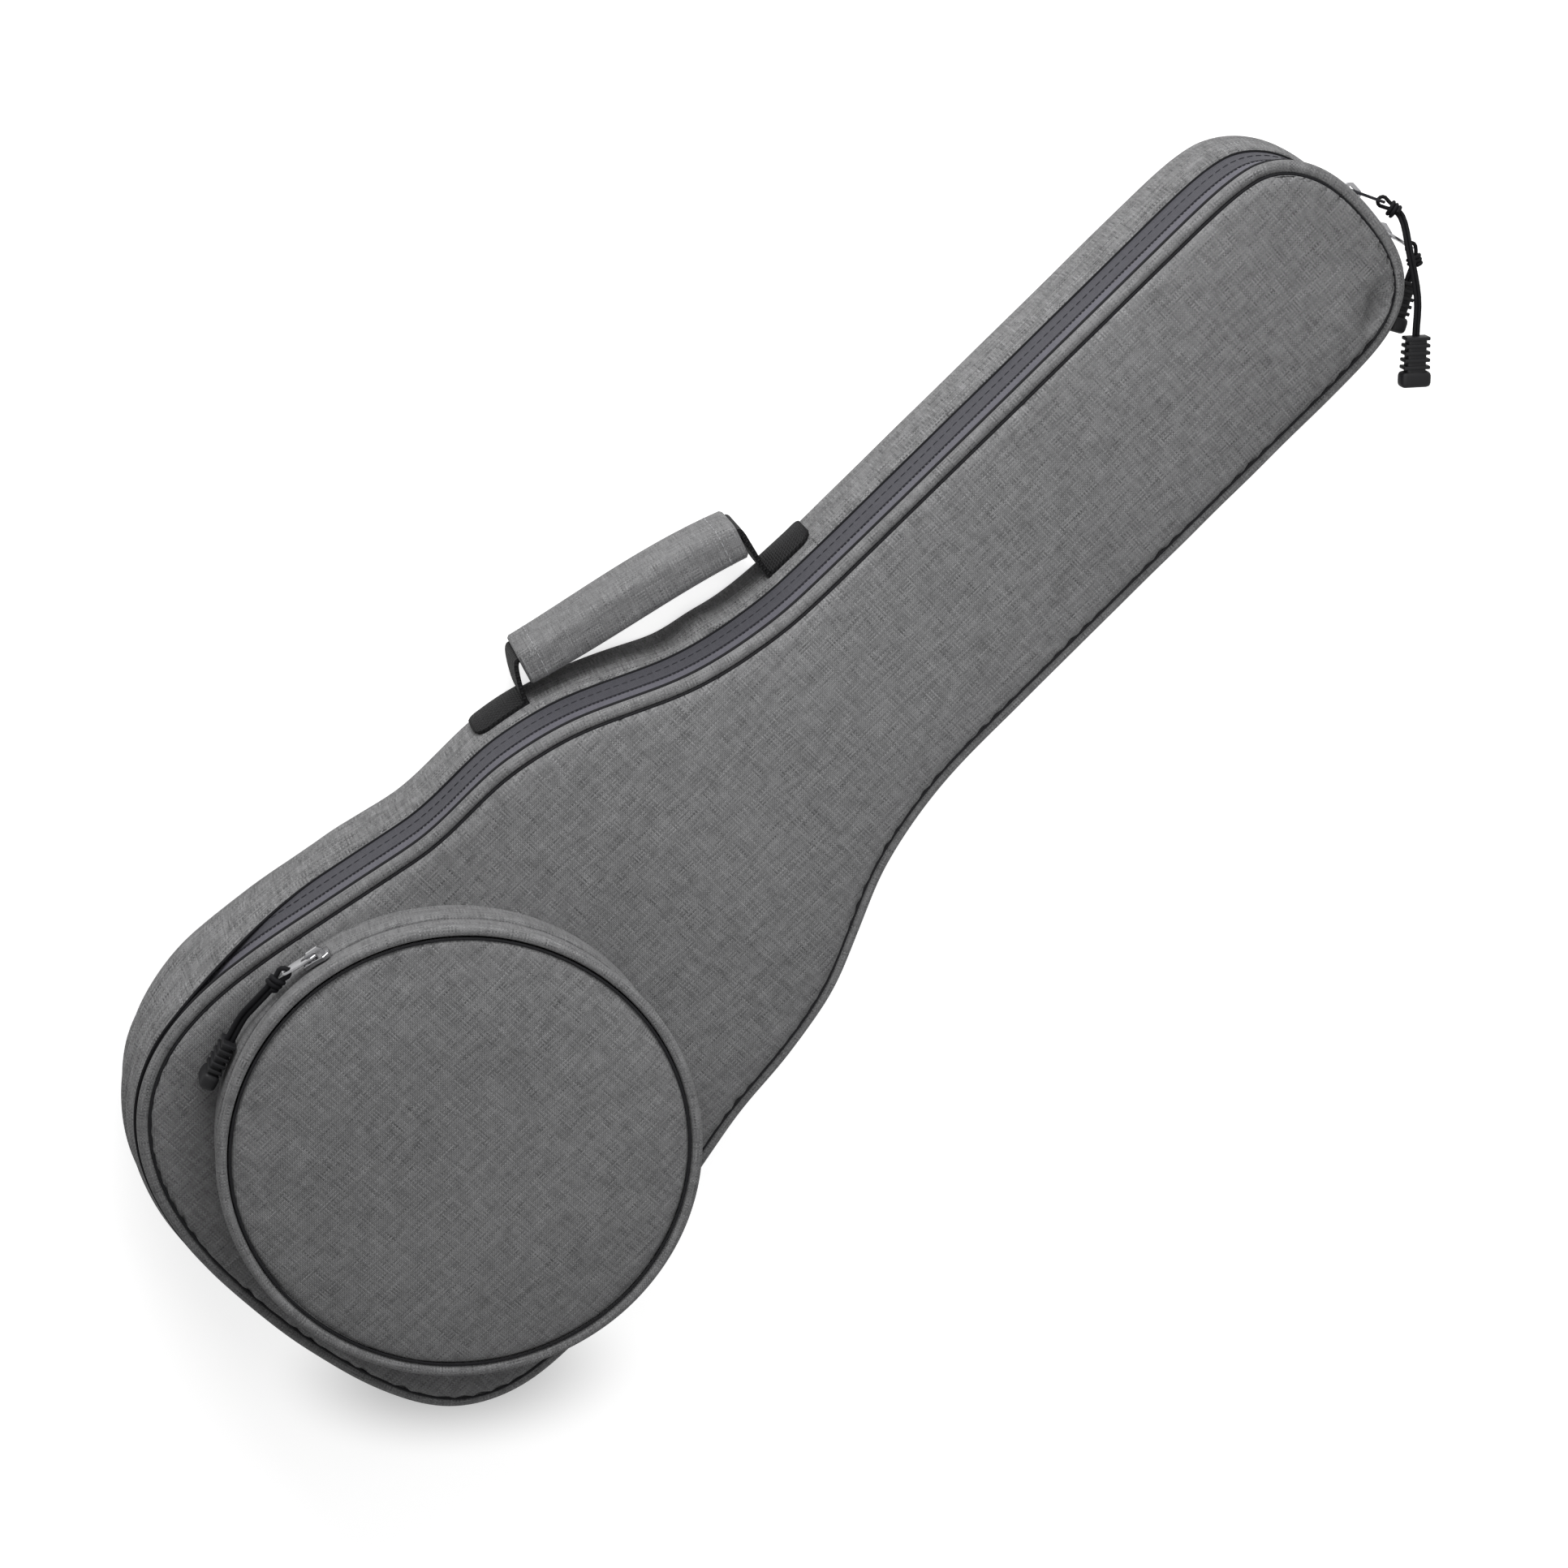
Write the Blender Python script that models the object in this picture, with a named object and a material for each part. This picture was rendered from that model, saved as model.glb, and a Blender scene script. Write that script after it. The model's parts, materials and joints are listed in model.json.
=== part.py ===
# Ukulele gig bag, lying on its back.
# Metres. +X runs from the tail to the head, +Y is the handle side, +Z points out of the front.
# The bag is a soft tub with a front lid on a fabric fold, a round pocket on the lid whose
# face folds open, a padded carry handle and three zipper sliders with corded rubber pulls.
import math

import bmesh
import bpy
from mathutils import Matrix, Vector

# Body outline, seen from the front, over the piping
BAG_LENGTH = 0.592
LOWER_BOUT_WIDTH = 0.211
LOWER_BOUT_FROM_TAIL = 0.084
TAIL_SQUARENESS = 2.45
BOUT_FLANK_WIDTH = 0.191
BOUT_FLANK_FROM_TAIL = 0.132
WAIST_WIDTH = 0.1686
WAIST_FROM_TAIL = 0.180
UPPER_BOUT_WIDTH = 0.1626
UPPER_BOUT_FROM_TAIL = 0.212
SHOULDER_WIDTH = 0.1472
SHOULDER_FROM_TAIL = 0.247
NECK_JOIN_WIDTH = 0.1084
NECK_JOIN_FROM_TAIL = 0.286
NECK_START_WIDTH = 0.0914
NECK_START_FROM_TAIL = 0.323
NECK_WIDTH = 0.0880
NECK_FROM_TAIL = 0.362
HEAD_WIDTH = 0.0866
HEAD_LENGTH = 0.047
HEAD_SQUARENESS = 3.0

# Body depth and the layers of its walls
BAG_DEPTH = 0.074
CLOTH = 0.0012
PADDING = 0.005
LINING = 0.0008
FIT = 0.0003
WALL_INSET = 0.0015
WALL_HEIGHT = 0.038
BINDING_DIAMETER = 0.003
PIPING_DIAMETER = 0.0048
PIPING_HEIGHT = 0.0685

# Main zipper
PARTING_HEIGHT = 0.052
COIL_HEIGHT = 0.001
COIL_WIDTH = 0.0018
TAPE_THICKNESS = 0.001
FOLD_FROM_TAIL = 0.050
FOLD_LENGTH = 0.120
FOLD_CLEARANCE = 0.0006
STOP_LENGTH = 0.004
STOP_DEPTH = 0.0012

# Round pocket on the lid
POCKET_FROM_TAIL = 0.1055
POCKET_RADIUS = 0.0885
POCKET_DEPTH = 0.028
POCKET_FACE = 0.0032
POCKET_WALL_HEIGHT = 0.0092
POCKET_PARTING = 0.0145
POCKET_ZIP_HALF_ANGLE = 79.0
POCKET_TAPE_HEIGHT = 0.0036

# Carry handle
STRAP_WIDTH = 0.025
STRAP_THICKNESS = 0.002
STRAP_HEIGHT = 0.0175
ANCHOR_LENGTH = 0.023
TAIL_ANCHOR_FROM_TAIL = 0.214
HEAD_ANCHOR_FROM_TAIL = 0.336
GRIP_LENGTH = 0.095
GRIP_WIDTH = 0.030
GRIP_THICKNESS = 0.0145
GRIP_ARCH = 0.0035
GRIP_TAIL_STANDOFF = 0.0160
GRIP_HEAD_STANDOFF = 0.0240
STRAP_TAPER = 0.45
TAPER_FLOOR = 0.0015
STRAP_LEAD = 0.004
TAIL_LEAD_DROP = 0.0045
HEAD_LEAD_DROP = 0.0055

# Zipper sliders, tabs, cords and rubber grips
SLIDER_LENGTH = 0.011
SLIDER_WIDTH = 0.0088
SLIDER_THICKNESS = 0.0018
BAIL_SPAN = 0.0060
BAIL_HEIGHT = 0.0032
BAIL_THICKNESS = 0.0014
TAB_LENGTH = 0.013
TAB_WIDTH = 0.0058
TAB_THICKNESS = 0.0011
TAB_BAR = 0.0011
TAB_SHOULDER = 0.0015
TAB_CORNER = 0.0005
WINDOW_PLAY = 0.001
STAMPING_EDGE = 0.0002
BAIL_CORNER = 0.0008
BAIL_WINDOW = 0.0046
CORD_WINDOW = 0.0025
CORD_DIAMETER = 0.0013
CORD_LEG_OFFSET = 0.0011
CORD_CLOSE_IN = 0.010
GRIP_PULL_LENGTH = 0.020
GRIP_PULL_WIDTH = 0.0120
GRIP_PULL_THICKNESS = 0.0064
GRIP_RIBS = 5
GRIP_FOOT_LENGTH = 0.006
GRIP_NECK_WIDTH = 0.0075
GRIP_RIB_WIDTH = 0.0103
GRIP_GROOVE_WIDTH = 0.0082
GRIP_FOOT_END_WIDTH = 0.0098
GRIP_FOOT_CORNER = 0.0012
GRIP_SIDES = 12
SLIDER_LIFT = 0.0008
SLIDER_A_Y = 0.0036
SLIDER_B_Y = -0.0165

# How far each tab stands off its tape, in degrees, the route of its cord as steps from the
# tab's end, and the way that the flat of its grip faces
TAB_A_LIFT = 25.0
TAB_B_LIFT = 26.0
TAB_POCKET_LIFT = 3.0
CORD_A_ROUTE = [
    (0.0012, -0.0084, 0.0030),
    (-0.0062, -0.0188, 0.0088),
    (-0.0155, -0.0325, 0.0125),
    (-0.0250, -0.0430, 0.0125),
]
CORD_B_ROUTE = [(-0.0024, -0.0046, 0.0005), (-0.0088, -0.0082, 0.0010)]
CORD_POCKET_ROUTE = [
    (-0.0139, -0.0013, -0.0025),
    (-0.0236, -0.0028, -0.0058),
    (-0.0326, -0.0055, -0.0063),
]
GRIP_A_FLAT = Vector((0.0, 0.0, 1.0))
GRIP_B_FLAT = Vector((0.77, -0.64, 0.0))
GRIP_POCKET_FLAT = Vector((-0.375, 0.927, 0.0))

# Facets, and the distance within which points are one
MERGE = 0.000001
TAIL_STEPS = 8
FLANK_STEPS = 2
HEAD_STEPS = 7
POCKET_STEPS = 44

# Worked-out places
TAIL_X = -BAG_LENGTH / 2
PANEL_TOP = BAG_DEPTH
POCKET_X = TAIL_X + POCKET_FROM_TAIL
FOLD_START_X = TAIL_X + FOLD_FROM_TAIL
FOLD_END_X = FOLD_START_X + FOLD_LENGTH
HALF_GAP = FIT / 2
TAPE_INSET = WALL_INSET + FIT
COIL_INSET = TAPE_INSET + (TAPE_THICKNESS - COIL_WIDTH) / 2
PANEL_INSET = PIPING_DIAMETER + FIT


def clear_scene():
    for thing in list(bpy.data.objects):
        bpy.data.objects.remove(thing, do_unlink=True)


def make_material(name, colour, roughness, metallic=0.0):
    material = bpy.data.materials.new(name)
    material.use_nodes = True
    shader = material.node_tree.nodes["Principled BSDF"]
    shader.inputs["Base Color"].default_value = (*colour, 1.0)
    shader.inputs["Roughness"].default_value = roughness
    shader.inputs["Metallic"].default_value = metallic
    return material


def superellipse(width, height, squareness, steps):
    # A quarter turn from the far end of the width to the far end of the height
    points = []
    for step in range(steps + 1):
        angle = math.pi / 2 * step / steps
        across = width * math.cos(angle) ** (2 / squareness)
        along = height * max(math.sin(angle), 0.0) ** (2 / squareness)
        points.append(Vector((across, along)))
    return points


def smooth_through(points, steps):
    # A Catmull-Rom curve through the points, without the first and last one
    line = []
    for index in range(1, len(points) - 2):
        before, start, end, after = points[index - 1:index + 3]
        for step in range(steps):
            part = step / steps
            leave = (end - before) / 2
            arrive = (after - start) / 2
            line.append(
                start * (2 * part**3 - 3 * part**2 + 1)
                + leave * (part**3 - 2 * part**2 + part)
                + end * (3 * part**2 - 2 * part**3)
                + arrive * (part**3 - part**2)
            )
    line.append(points[-2])
    return line


def half_outline():
    # From the middle of the tail to the middle of the head on the +Y side
    tail_centre = TAIL_X + LOWER_BOUT_FROM_TAIL
    tail = superellipse(LOWER_BOUT_FROM_TAIL, LOWER_BOUT_WIDTH / 2, TAIL_SQUARENESS, TAIL_STEPS)
    line = [Vector((tail_centre - point.x, point.y)) for point in tail[:-1]]
    head_start = TAIL_X + BAG_LENGTH - HEAD_LENGTH
    stations = [
        (LOWER_BOUT_FROM_TAIL, LOWER_BOUT_WIDTH),
        (BOUT_FLANK_FROM_TAIL, BOUT_FLANK_WIDTH),
        (WAIST_FROM_TAIL, WAIST_WIDTH),
        (UPPER_BOUT_FROM_TAIL, UPPER_BOUT_WIDTH),
        (SHOULDER_FROM_TAIL, SHOULDER_WIDTH),
        (NECK_JOIN_FROM_TAIL, NECK_JOIN_WIDTH),
        (NECK_START_FROM_TAIL, NECK_START_WIDTH),
        (NECK_FROM_TAIL, NECK_WIDTH),
        (BAG_LENGTH - HEAD_LENGTH, HEAD_WIDTH),
    ]
    knots = [Vector((TAIL_X + along, width / 2)) for along, width in stations]
    first = Vector((2 * knots[0].x - knots[1].x, knots[1].y))
    last = Vector((2 * knots[-1].x - knots[-2].x, knots[-1].y))
    line += smooth_through([first, *knots, last], FLANK_STEPS)[:-1]
    head = superellipse(HEAD_LENGTH, HEAD_WIDTH / 2, HEAD_SQUARENESS, HEAD_STEPS)
    line += [Vector((head_start + point.x, point.y)) for point in reversed(head)]
    return line


def whole_outline():
    # Anticlockwise from the tail: along the -Y side to the head and back on the +Y side
    upper = half_outline()
    lower = [Vector((point.x, -point.y)) for point in upper]
    return lower + upper[-2:0:-1]


def round_outline(centre_x, radius, steps):
    turns = [2 * math.pi * step / steps for step in range(steps)]
    return [Vector((centre_x + radius * math.cos(a), radius * math.sin(a))) for a in turns]


def inset_loop(loop, distance):
    # Every point moves inwards along the bisector of its two sides, at a sharp corner at most
    # twice the distance
    moved = []
    count = len(loop)
    for index, point in enumerate(loop):
        before = (point - loop[index - 1]).normalized()
        after = (loop[(index + 1) % count] - point).normalized()
        inward = Vector((-before.y - after.y, before.x + after.x)).normalized()
        share = max(inward.dot(Vector((-before.y, before.x))), 0.5)
        moved.append(point + inward * distance / share)
    return moved


BODY = whole_outline()


def body_line(inset):
    return inset_loop(BODY, inset)


def side_position(x, side):
    # The place on the outline, as an index with a fraction, where it passes x on one side
    count = len(BODY)
    for index in range(count):
        start = BODY[index]
        end = BODY[(index + 1) % count]
        if (start.y + end.y) * side > 0 and (start.x - x) * (end.x - x) <= 0 and start.x != end.x:
            return index + (x - start.x) / (end.x - start.x)
    return 0.0


def point_on(loop, position):
    count = len(loop)
    index = math.floor(position)
    part = position - index
    return loop[index % count].lerp(loop[(index + 1) % count], part)


def stretch(loop, start, end):
    # The points of a closed loop from one place to a later one, going round if need be
    count = len(loop)
    if end < start:
        end += count
    points = [point_on(loop, start)]
    for index in range(math.floor(start) + 1, math.ceil(end)):
        points.append(loop[index % count])
    points.append(point_on(loop, end))
    return points


def wall_point(x, side, inset):
    return point_on(body_line(inset), side_position(x, side))


def new_object(name, data, material, collection, parent=None):
    thing = bpy.data.objects.new(name, data)
    collection.objects.link(thing)
    if material is not None:
        thing.data.materials.append(material)
    if parent is not None:
        thing.parent = parent
        thing.matrix_parent_inverse = Matrix.Translation(-parent.location)
    return thing


def slab(name, loops, bottom, top, material, parent=None, collection=None):
    # A flat outline, with holes if there are several loops, between two heights
    curve = bpy.data.curves.new(name, "CURVE")
    curve.dimensions = "2D"
    curve.fill_mode = "BOTH"
    curve.extrude = (top - bottom) / 2
    for loop in loops:
        spline = curve.splines.new("POLY")
        spline.points.add(len(loop) - 1)
        for place, point in zip(spline.points, loop):
            place.co = (point.x, point.y, 0.0, 1.0)
        spline.use_cyclic_u = True
    thing = new_object(name, curve, material, collection or PARTS, parent)
    thing.location = (0.0, 0.0, (top + bottom) / 2)
    return thing


def ring(name, outer, inner, bottom, top, material, parent=None):
    return slab(name, [body_line(outer), body_line(inner)], bottom, top, material, parent)


def wall_band(name, start, end, outer, inner, bottom, top, material, parent=None):
    # A stretch of the side wall between two places on the outline
    outside = stretch(body_line(outer), start, end)
    inside = stretch(body_line(inner), start, end)
    return slab(name, [outside + inside[::-1]], bottom, top, material, parent)


def tube(name, points, radius, material, parent=None, cyclic=False, resolution=1):
    curve = bpy.data.curves.new(name, "CURVE")
    curve.dimensions = "3D"
    curve.bevel_depth = radius
    curve.bevel_resolution = resolution
    curve.use_fill_caps = not cyclic
    spline = curve.splines.new("POLY")
    spline.points.add(len(points) - 1)
    for place, point in zip(spline.points, points):
        place.co = (*point, 1.0)
    spline.use_cyclic_u = cyclic
    return new_object(name, curve, material, PARTS, parent)


def edge_cord(name, inset, height, diameter, material, parent=None):
    points = [Vector((point.x, point.y, height)) for point in body_line(inset)]
    return tube(name, points, diameter / 2, material, parent, cyclic=True)


def as_mesh(thing):
    # The evaluated shape of a curve object as a mesh object under the same name
    depsgraph = bpy.context.evaluated_depsgraph_get()
    mesh = bpy.data.meshes.new_from_object(thing.evaluated_get(depsgraph))
    work = bmesh.new()
    work.from_mesh(mesh)
    bmesh.ops.remove_doubles(work, verts=work.verts, dist=MERGE)
    bmesh.ops.recalc_face_normals(work, faces=work.faces)
    work.to_mesh(mesh)
    work.free()
    name = thing.name
    parent = thing.parent
    inverse = thing.matrix_parent_inverse.copy()
    basis = thing.matrix_basis.copy()
    collection = thing.users_collection[0]
    bpy.data.objects.remove(thing, do_unlink=True)
    solid = new_object(name, mesh, None, collection)
    solid.parent = parent
    solid.matrix_parent_inverse = inverse
    solid.matrix_basis = basis
    return solid


def cut_away(thing, cutter):
    modifier = thing.modifiers.new("cut", "BOOLEAN")
    modifier.operation = "DIFFERENCE"
    modifier.solver = "EXACT"
    modifier.object = cutter
    cutter.hide_render = True
    cutter.display_type = "WIRE"


def axis_empty(name, location, parent=None):
    empty = bpy.data.objects.new(name, None)
    PARTS.objects.link(empty)
    empty.location = location
    if parent is not None:
        empty.parent = parent
        empty.matrix_parent_inverse = Matrix.Translation(-parent.location)
    return empty


def build_back():
    # Outer cloth, foam and lining of the back, stacked from the floor up
    foam_bottom = CLOTH + FIT
    foam_top = foam_bottom + PADDING
    lining_bottom = foam_top + FIT
    lining_top = lining_bottom + LINING
    foam_inset = WALL_INSET + CLOTH + FIT
    lining_inset = foam_inset + PADDING + LINING + 2 * FIT
    slab("back_panel", [body_line(WALL_INSET)], 0.0, CLOTH, GREY)
    slab("back_padding", [body_line(foam_inset)], foam_bottom, foam_top, FOAM)
    slab("back_lining", [body_line(lining_inset)], lining_bottom, lining_top, DARK_CLOTH)
    return foam_inset, foam_top, lining_top


def build_gusset(foam_inset, foam_top):
    # The wall stands on the back: its cloth outside, foam and lining on the back's foam
    foam_inner = foam_inset + PADDING
    ring("gusset_fabric", WALL_INSET, WALL_INSET + CLOTH, CLOTH + FIT, WALL_HEIGHT, GREY)
    ring("gusset_padding", foam_inset, foam_inner, foam_top + FIT, WALL_HEIGHT - FIT, FOAM)
    lining_outer = foam_inner + FIT
    ring("gusset_lining", lining_outer, lining_outer + LINING, foam_top + FIT, WALL_HEIGHT - FIT, DARK_CLOTH)
    return lining_outer + LINING


def build_back_binding(wall_inner, lining_top):
    inset = wall_inner + FIT + BINDING_DIAMETER / 2
    height = lining_top + FIT + BINDING_DIAMETER / 2
    edge_cord("back_binding", inset, height, BINDING_DIAMETER, BLACK_CLOTH)


def build_main_zipper(lid):
    # Tapes and coils run from the head end of the fold, round head and tail, to its tail end
    fold_tail = side_position(FOLD_START_X, -1)
    fold_head = side_position(FOLD_END_X, -1)
    tape_inner = TAPE_INSET + TAPE_THICKNESS
    coil_inner = COIL_INSET + COIL_WIDTH
    coil_bottom = PARTING_HEIGHT - HALF_GAP - COIL_HEIGHT
    coil_top = PARTING_HEIGHT + HALF_GAP + COIL_HEIGHT
    piping_bottom = PIPING_HEIGHT - PIPING_DIAMETER / 2
    lower = (WALL_HEIGHT + FIT, coil_bottom - FIT)
    upper = (coil_top + FIT, piping_bottom - FIT)
    ends = (fold_head, fold_tail)
    wall_band("tub_zipper_tape", *ends, TAPE_INSET, tape_inner, *lower, TAPE)
    wall_band("tub_zipper_coil", *ends, COIL_INSET, coil_inner, coil_bottom, PARTING_HEIGHT - HALF_GAP, COIL)
    wall_band("lid_zipper_coil", *ends, COIL_INSET, coil_inner, PARTING_HEIGHT + HALF_GAP, coil_top, COIL, lid)
    wall_band("lid_zipper_tape", *ends, TAPE_INSET, tape_inner, *upper, TAPE, lid)
    build_fold(lower[0], upper[1], lid)
    build_stops(coil_bottom)


def build_fold(bottom, top, lid):
    # Where there is no zipper the wall cloth goes on up and folds at the parting height
    tail_end = side_position(FOLD_START_X + FOLD_CLEARANCE, -1)
    span = (tail_end, side_position(FOLD_END_X - FOLD_CLEARANCE, -1))
    inner = TAPE_INSET + CLOTH
    wall_band("hinge_panel_lower", *span, TAPE_INSET, inner, bottom, PARTING_HEIGHT - HALF_GAP, GREY)
    wall_band("hinge_panel_upper", *span, TAPE_INSET, inner, PARTING_HEIGHT + HALF_GAP, top, GREY, lid)


def build_stops(coil_bottom):
    # A crimped stop on the tape just before each end of the chain
    outer = TAPE_INSET - FIT - STOP_DEPTH
    top = coil_bottom - FIT
    starts = (FOLD_START_X - 2 * STOP_LENGTH, FOLD_END_X + STOP_LENGTH)
    for name, x in zip(("zipper_stop_tail", "zipper_stop_head"), starts):
        start = side_position(x, -1)
        end = side_position(x + STOP_LENGTH, -1)
        wall_band(name, start, end, outer, TAPE_INSET - FIT, top - STOP_LENGTH / 2, top, METAL)


def build_front(lid):
    # Cloth, foam and lining inside the piping, and the binding under their edge
    foam_top = PANEL_TOP - CLOTH - FIT
    foam_bottom = foam_top - PADDING
    lining_top = foam_bottom - FIT
    lining_bottom = lining_top - LINING
    loop = [body_line(PANEL_INSET)]
    slab("front_panel", loop, PANEL_TOP - CLOTH, PANEL_TOP, GREY, lid)
    slab("front_padding", loop, foam_bottom, foam_top, FOAM, lid)
    slab("front_lining", loop, lining_bottom, lining_top, DARK_CLOTH, lid)
    edge_cord("front_piping", PIPING_DIAMETER / 2, PIPING_HEIGHT, PIPING_DIAMETER, GREY, lid)
    binding_radius = BINDING_DIAMETER / 2
    binding_inset = TAPE_INSET + TAPE_THICKNESS + FIT + binding_radius
    binding_height = lining_bottom - FIT - binding_radius
    edge_cord("front_binding", binding_inset, binding_height, BINDING_DIAMETER, BLACK_CLOTH, lid)


def pocket_arc(radius, start, end):
    # Degrees from +X; the steps are as long as those of the whole circle
    steps = max(2, round(POCKET_STEPS * (end - start) / 360.0))
    points = []
    for step in range(steps + 1):
        angle = math.radians(start + (end - start) * step / steps)
        points.append(Vector((POCKET_X + radius * math.cos(angle), radius * math.sin(angle))))
    return points


def pocket_band(name, outer, thickness, start, end, bottom, top, material, parent):
    outside = pocket_arc(outer, start, end)
    inside = pocket_arc(outer - thickness, start, end)
    return slab(name, [outside + inside[::-1]], bottom, top, material, parent)


def build_pocket(lid, flap):
    wall_radius = POCKET_RADIUS - WALL_INSET
    tape_radius = wall_radius - FIT
    coil_radius = tape_radius + (COIL_WIDTH - TAPE_THICKNESS) / 2
    bottom = PANEL_TOP + FIT
    wall_top = PANEL_TOP + POCKET_WALL_HEIGHT
    parting = PANEL_TOP + POCKET_PARTING
    lower_coil = (parting - HALF_GAP - COIL_HEIGHT, parting - HALF_GAP)
    upper_coil = (parting + HALF_GAP, parting + HALF_GAP + COIL_HEIGHT)
    upper_tape_top = upper_coil[1] + FIT + POCKET_TAPE_HEIGHT
    piping_radius = PIPING_DIAMETER / 2
    piping_height = PANEL_TOP + POCKET_DEPTH - POCKET_FACE / 2 - piping_radius / 2
    piping_bottom = piping_height - piping_radius
    zip_start = -POCKET_ZIP_HALF_ANGLE
    zip_end = POCKET_ZIP_HALF_ANGLE
    # The joint between flap and fixed part: one gap of FIT, along the wall and across the face
    gap = math.degrees(FIT / wall_radius)

    whole = [round_outline(POCKET_X, wall_radius, POCKET_STEPS)]
    whole.append(round_outline(POCKET_X, wall_radius - CLOTH, POCKET_STEPS))
    slab("pocket_gusset_lower", whole, bottom, wall_top, GREY, lid)
    tail_arc = (zip_end + gap, 360.0 + zip_start - gap)
    pocket_band("pocket_gusset_tail", wall_radius, CLOTH, *tail_arc, wall_top + FIT, piping_bottom - FIT, GREY, lid)

    zip_arc = (zip_start, zip_end)
    tape_lower = (wall_top + FIT, lower_coil[0] - FIT)
    tape_upper = (upper_coil[1] + FIT, upper_tape_top)
    pocket_band("pocket_tape_lower", tape_radius, TAPE_THICKNESS, *zip_arc, *tape_lower, TAPE, lid)
    pocket_band("pocket_coil_lower", coil_radius, COIL_WIDTH, *zip_arc, *lower_coil, COIL, lid)
    # The upper coil stops at the slider's end, so that the flap swings clear of the slider
    coil_end = zip_end - math.degrees((SLIDER_LENGTH / 2 + FIT) / coil_radius)
    pocket_band("pocket_coil_upper", coil_radius, COIL_WIDTH, zip_start, coil_end, *upper_coil, COIL, flap)
    pocket_band("pocket_tape_upper", tape_radius, TAPE_THICKNESS, *zip_arc, *tape_upper, TAPE, flap)
    flap_wall = (upper_tape_top + FIT, piping_bottom - FIT)
    pocket_band("pocket_gusset_flap", wall_radius, CLOTH, *zip_arc, *flap_wall, GREY, flap)

    for name, arc, parent in (("pocket_piping_flap", zip_arc, flap), ("pocket_piping_tail", tail_arc, lid)):
        line = pocket_arc(POCKET_RADIUS - piping_radius, *arc)
        tube(name, [(p.x, p.y, piping_height) for p in line], piping_radius, GREY, parent)
    face_radius = POCKET_RADIUS - PIPING_DIAMETER - FIT
    face_top = PANEL_TOP + POCKET_DEPTH
    face = (face_top - POCKET_FACE, face_top)
    slab("pocket_face_flap", [pocket_arc(face_radius, *zip_arc)], *face, GREY, flap)
    slab("pocket_face_tail", [pocket_arc(face_radius, *tail_arc)], *face, GREY, lid)


def strap_line(points, half):
    # A flat strip's outline: the same offset on both sides of its middle line
    left = []
    right = []
    for index, point in enumerate(points):
        before = points[max(index - 1, 0)]
        after = points[min(index + 1, len(points) - 1)]
        along = (after - before).normalized()
        side = Vector((-along.y, along.x)) * half
        left.append(point + side)
        right.append(point - side)
    return left + right[::-1]


def handle_ends():
    tail_x = TAIL_X + TAIL_ANCHOR_FROM_TAIL + ANCHOR_LENGTH
    head_x = TAIL_X + HEAD_ANCHOR_FROM_TAIL
    face = WALL_INSET - FIT - STRAP_THICKNESS / 2
    return wall_point(tail_x, 1, face), wall_point(head_x, 1, face)


def handle_route():
    # The strap rises off the tail anchor, runs through the grip and comes down to the head anchor
    tail_foot, head_foot = handle_ends()
    along = (head_foot - tail_foot).normalized()
    out = Vector((-along.y, along.x))
    middle = (tail_foot + head_foot) / 2
    half = GRIP_LENGTH / 2
    tail_end = middle - along * half + out * GRIP_TAIL_STANDOFF
    head_end = middle + along * half + out * GRIP_HEAD_STANDOFF
    crown = (tail_end + head_end) / 2 + out * GRIP_ARCH
    grip = smooth_through([tail_end * 2 - crown, tail_end, crown, head_end, head_end * 2 - crown], 4)
    step_off = STRAP_THICKNESS / 2 + FIT
    tail_lead = tail_end - along * STRAP_LEAD - out * TAIL_LEAD_DROP
    head_lead = head_end + along * STRAP_LEAD - out * HEAD_LEAD_DROP
    tail_rise = [tail_foot + out * FIT + along * step_off, tail_lead]
    head_rise = [head_lead, head_foot + out * 2 * FIT - along * step_off]
    return tail_rise, grip, head_rise


def build_handle(handle):
    for name, at in (("handle_anchor_tail", TAIL_ANCHOR_FROM_TAIL), ("handle_anchor_head", HEAD_ANCHOR_FROM_TAIL)):
        start = side_position(TAIL_X + at + ANCHOR_LENGTH, 1)
        end = side_position(TAIL_X + at, 1)
        bottom = STRAP_HEIGHT - STRAP_WIDTH / 2
        top = STRAP_HEIGHT + STRAP_WIDTH / 2
        face = WALL_INSET - FIT
        wall_band(name, start, end, face - STRAP_THICKNESS, face, bottom, top, WEBBING)

    tail_rise, grip_line, head_rise = handle_route()
    route = tail_rise + grip_line + head_rise
    strap = slab(
        "handle_webbing",
        [strap_line(route, STRAP_THICKNESS / 2)],
        STRAP_HEIGHT - STRAP_WIDTH / 2,
        STRAP_HEIGHT + STRAP_WIDTH / 2,
        WEBBING,
        handle,
    )
    strap = as_mesh(strap)
    taper_to_fold(strap)
    grip = tube("handle_grip", [(p.x, p.y, 0.0) for p in grip_line], GRIP_THICKNESS / 2, GREY, handle, resolution=2)
    grip.location = (0.0, 0.0, STRAP_HEIGHT)
    grip.scale = (1.0, 1.0, GRIP_WIDTH / GRIP_THICKNESS)
    grip = as_mesh(grip)
    slot_half = (STRAP_WIDTH / 2) + FIT
    slot = slab(
        "handle_slot_cutter",
        [strap_line(route, STRAP_THICKNESS / 2 + FIT)],
        STRAP_HEIGHT - slot_half,
        STRAP_HEIGHT + slot_half,
        None,
        handle,
        CUTTERS,
    )
    cut_away(grip, as_mesh(slot))


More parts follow.
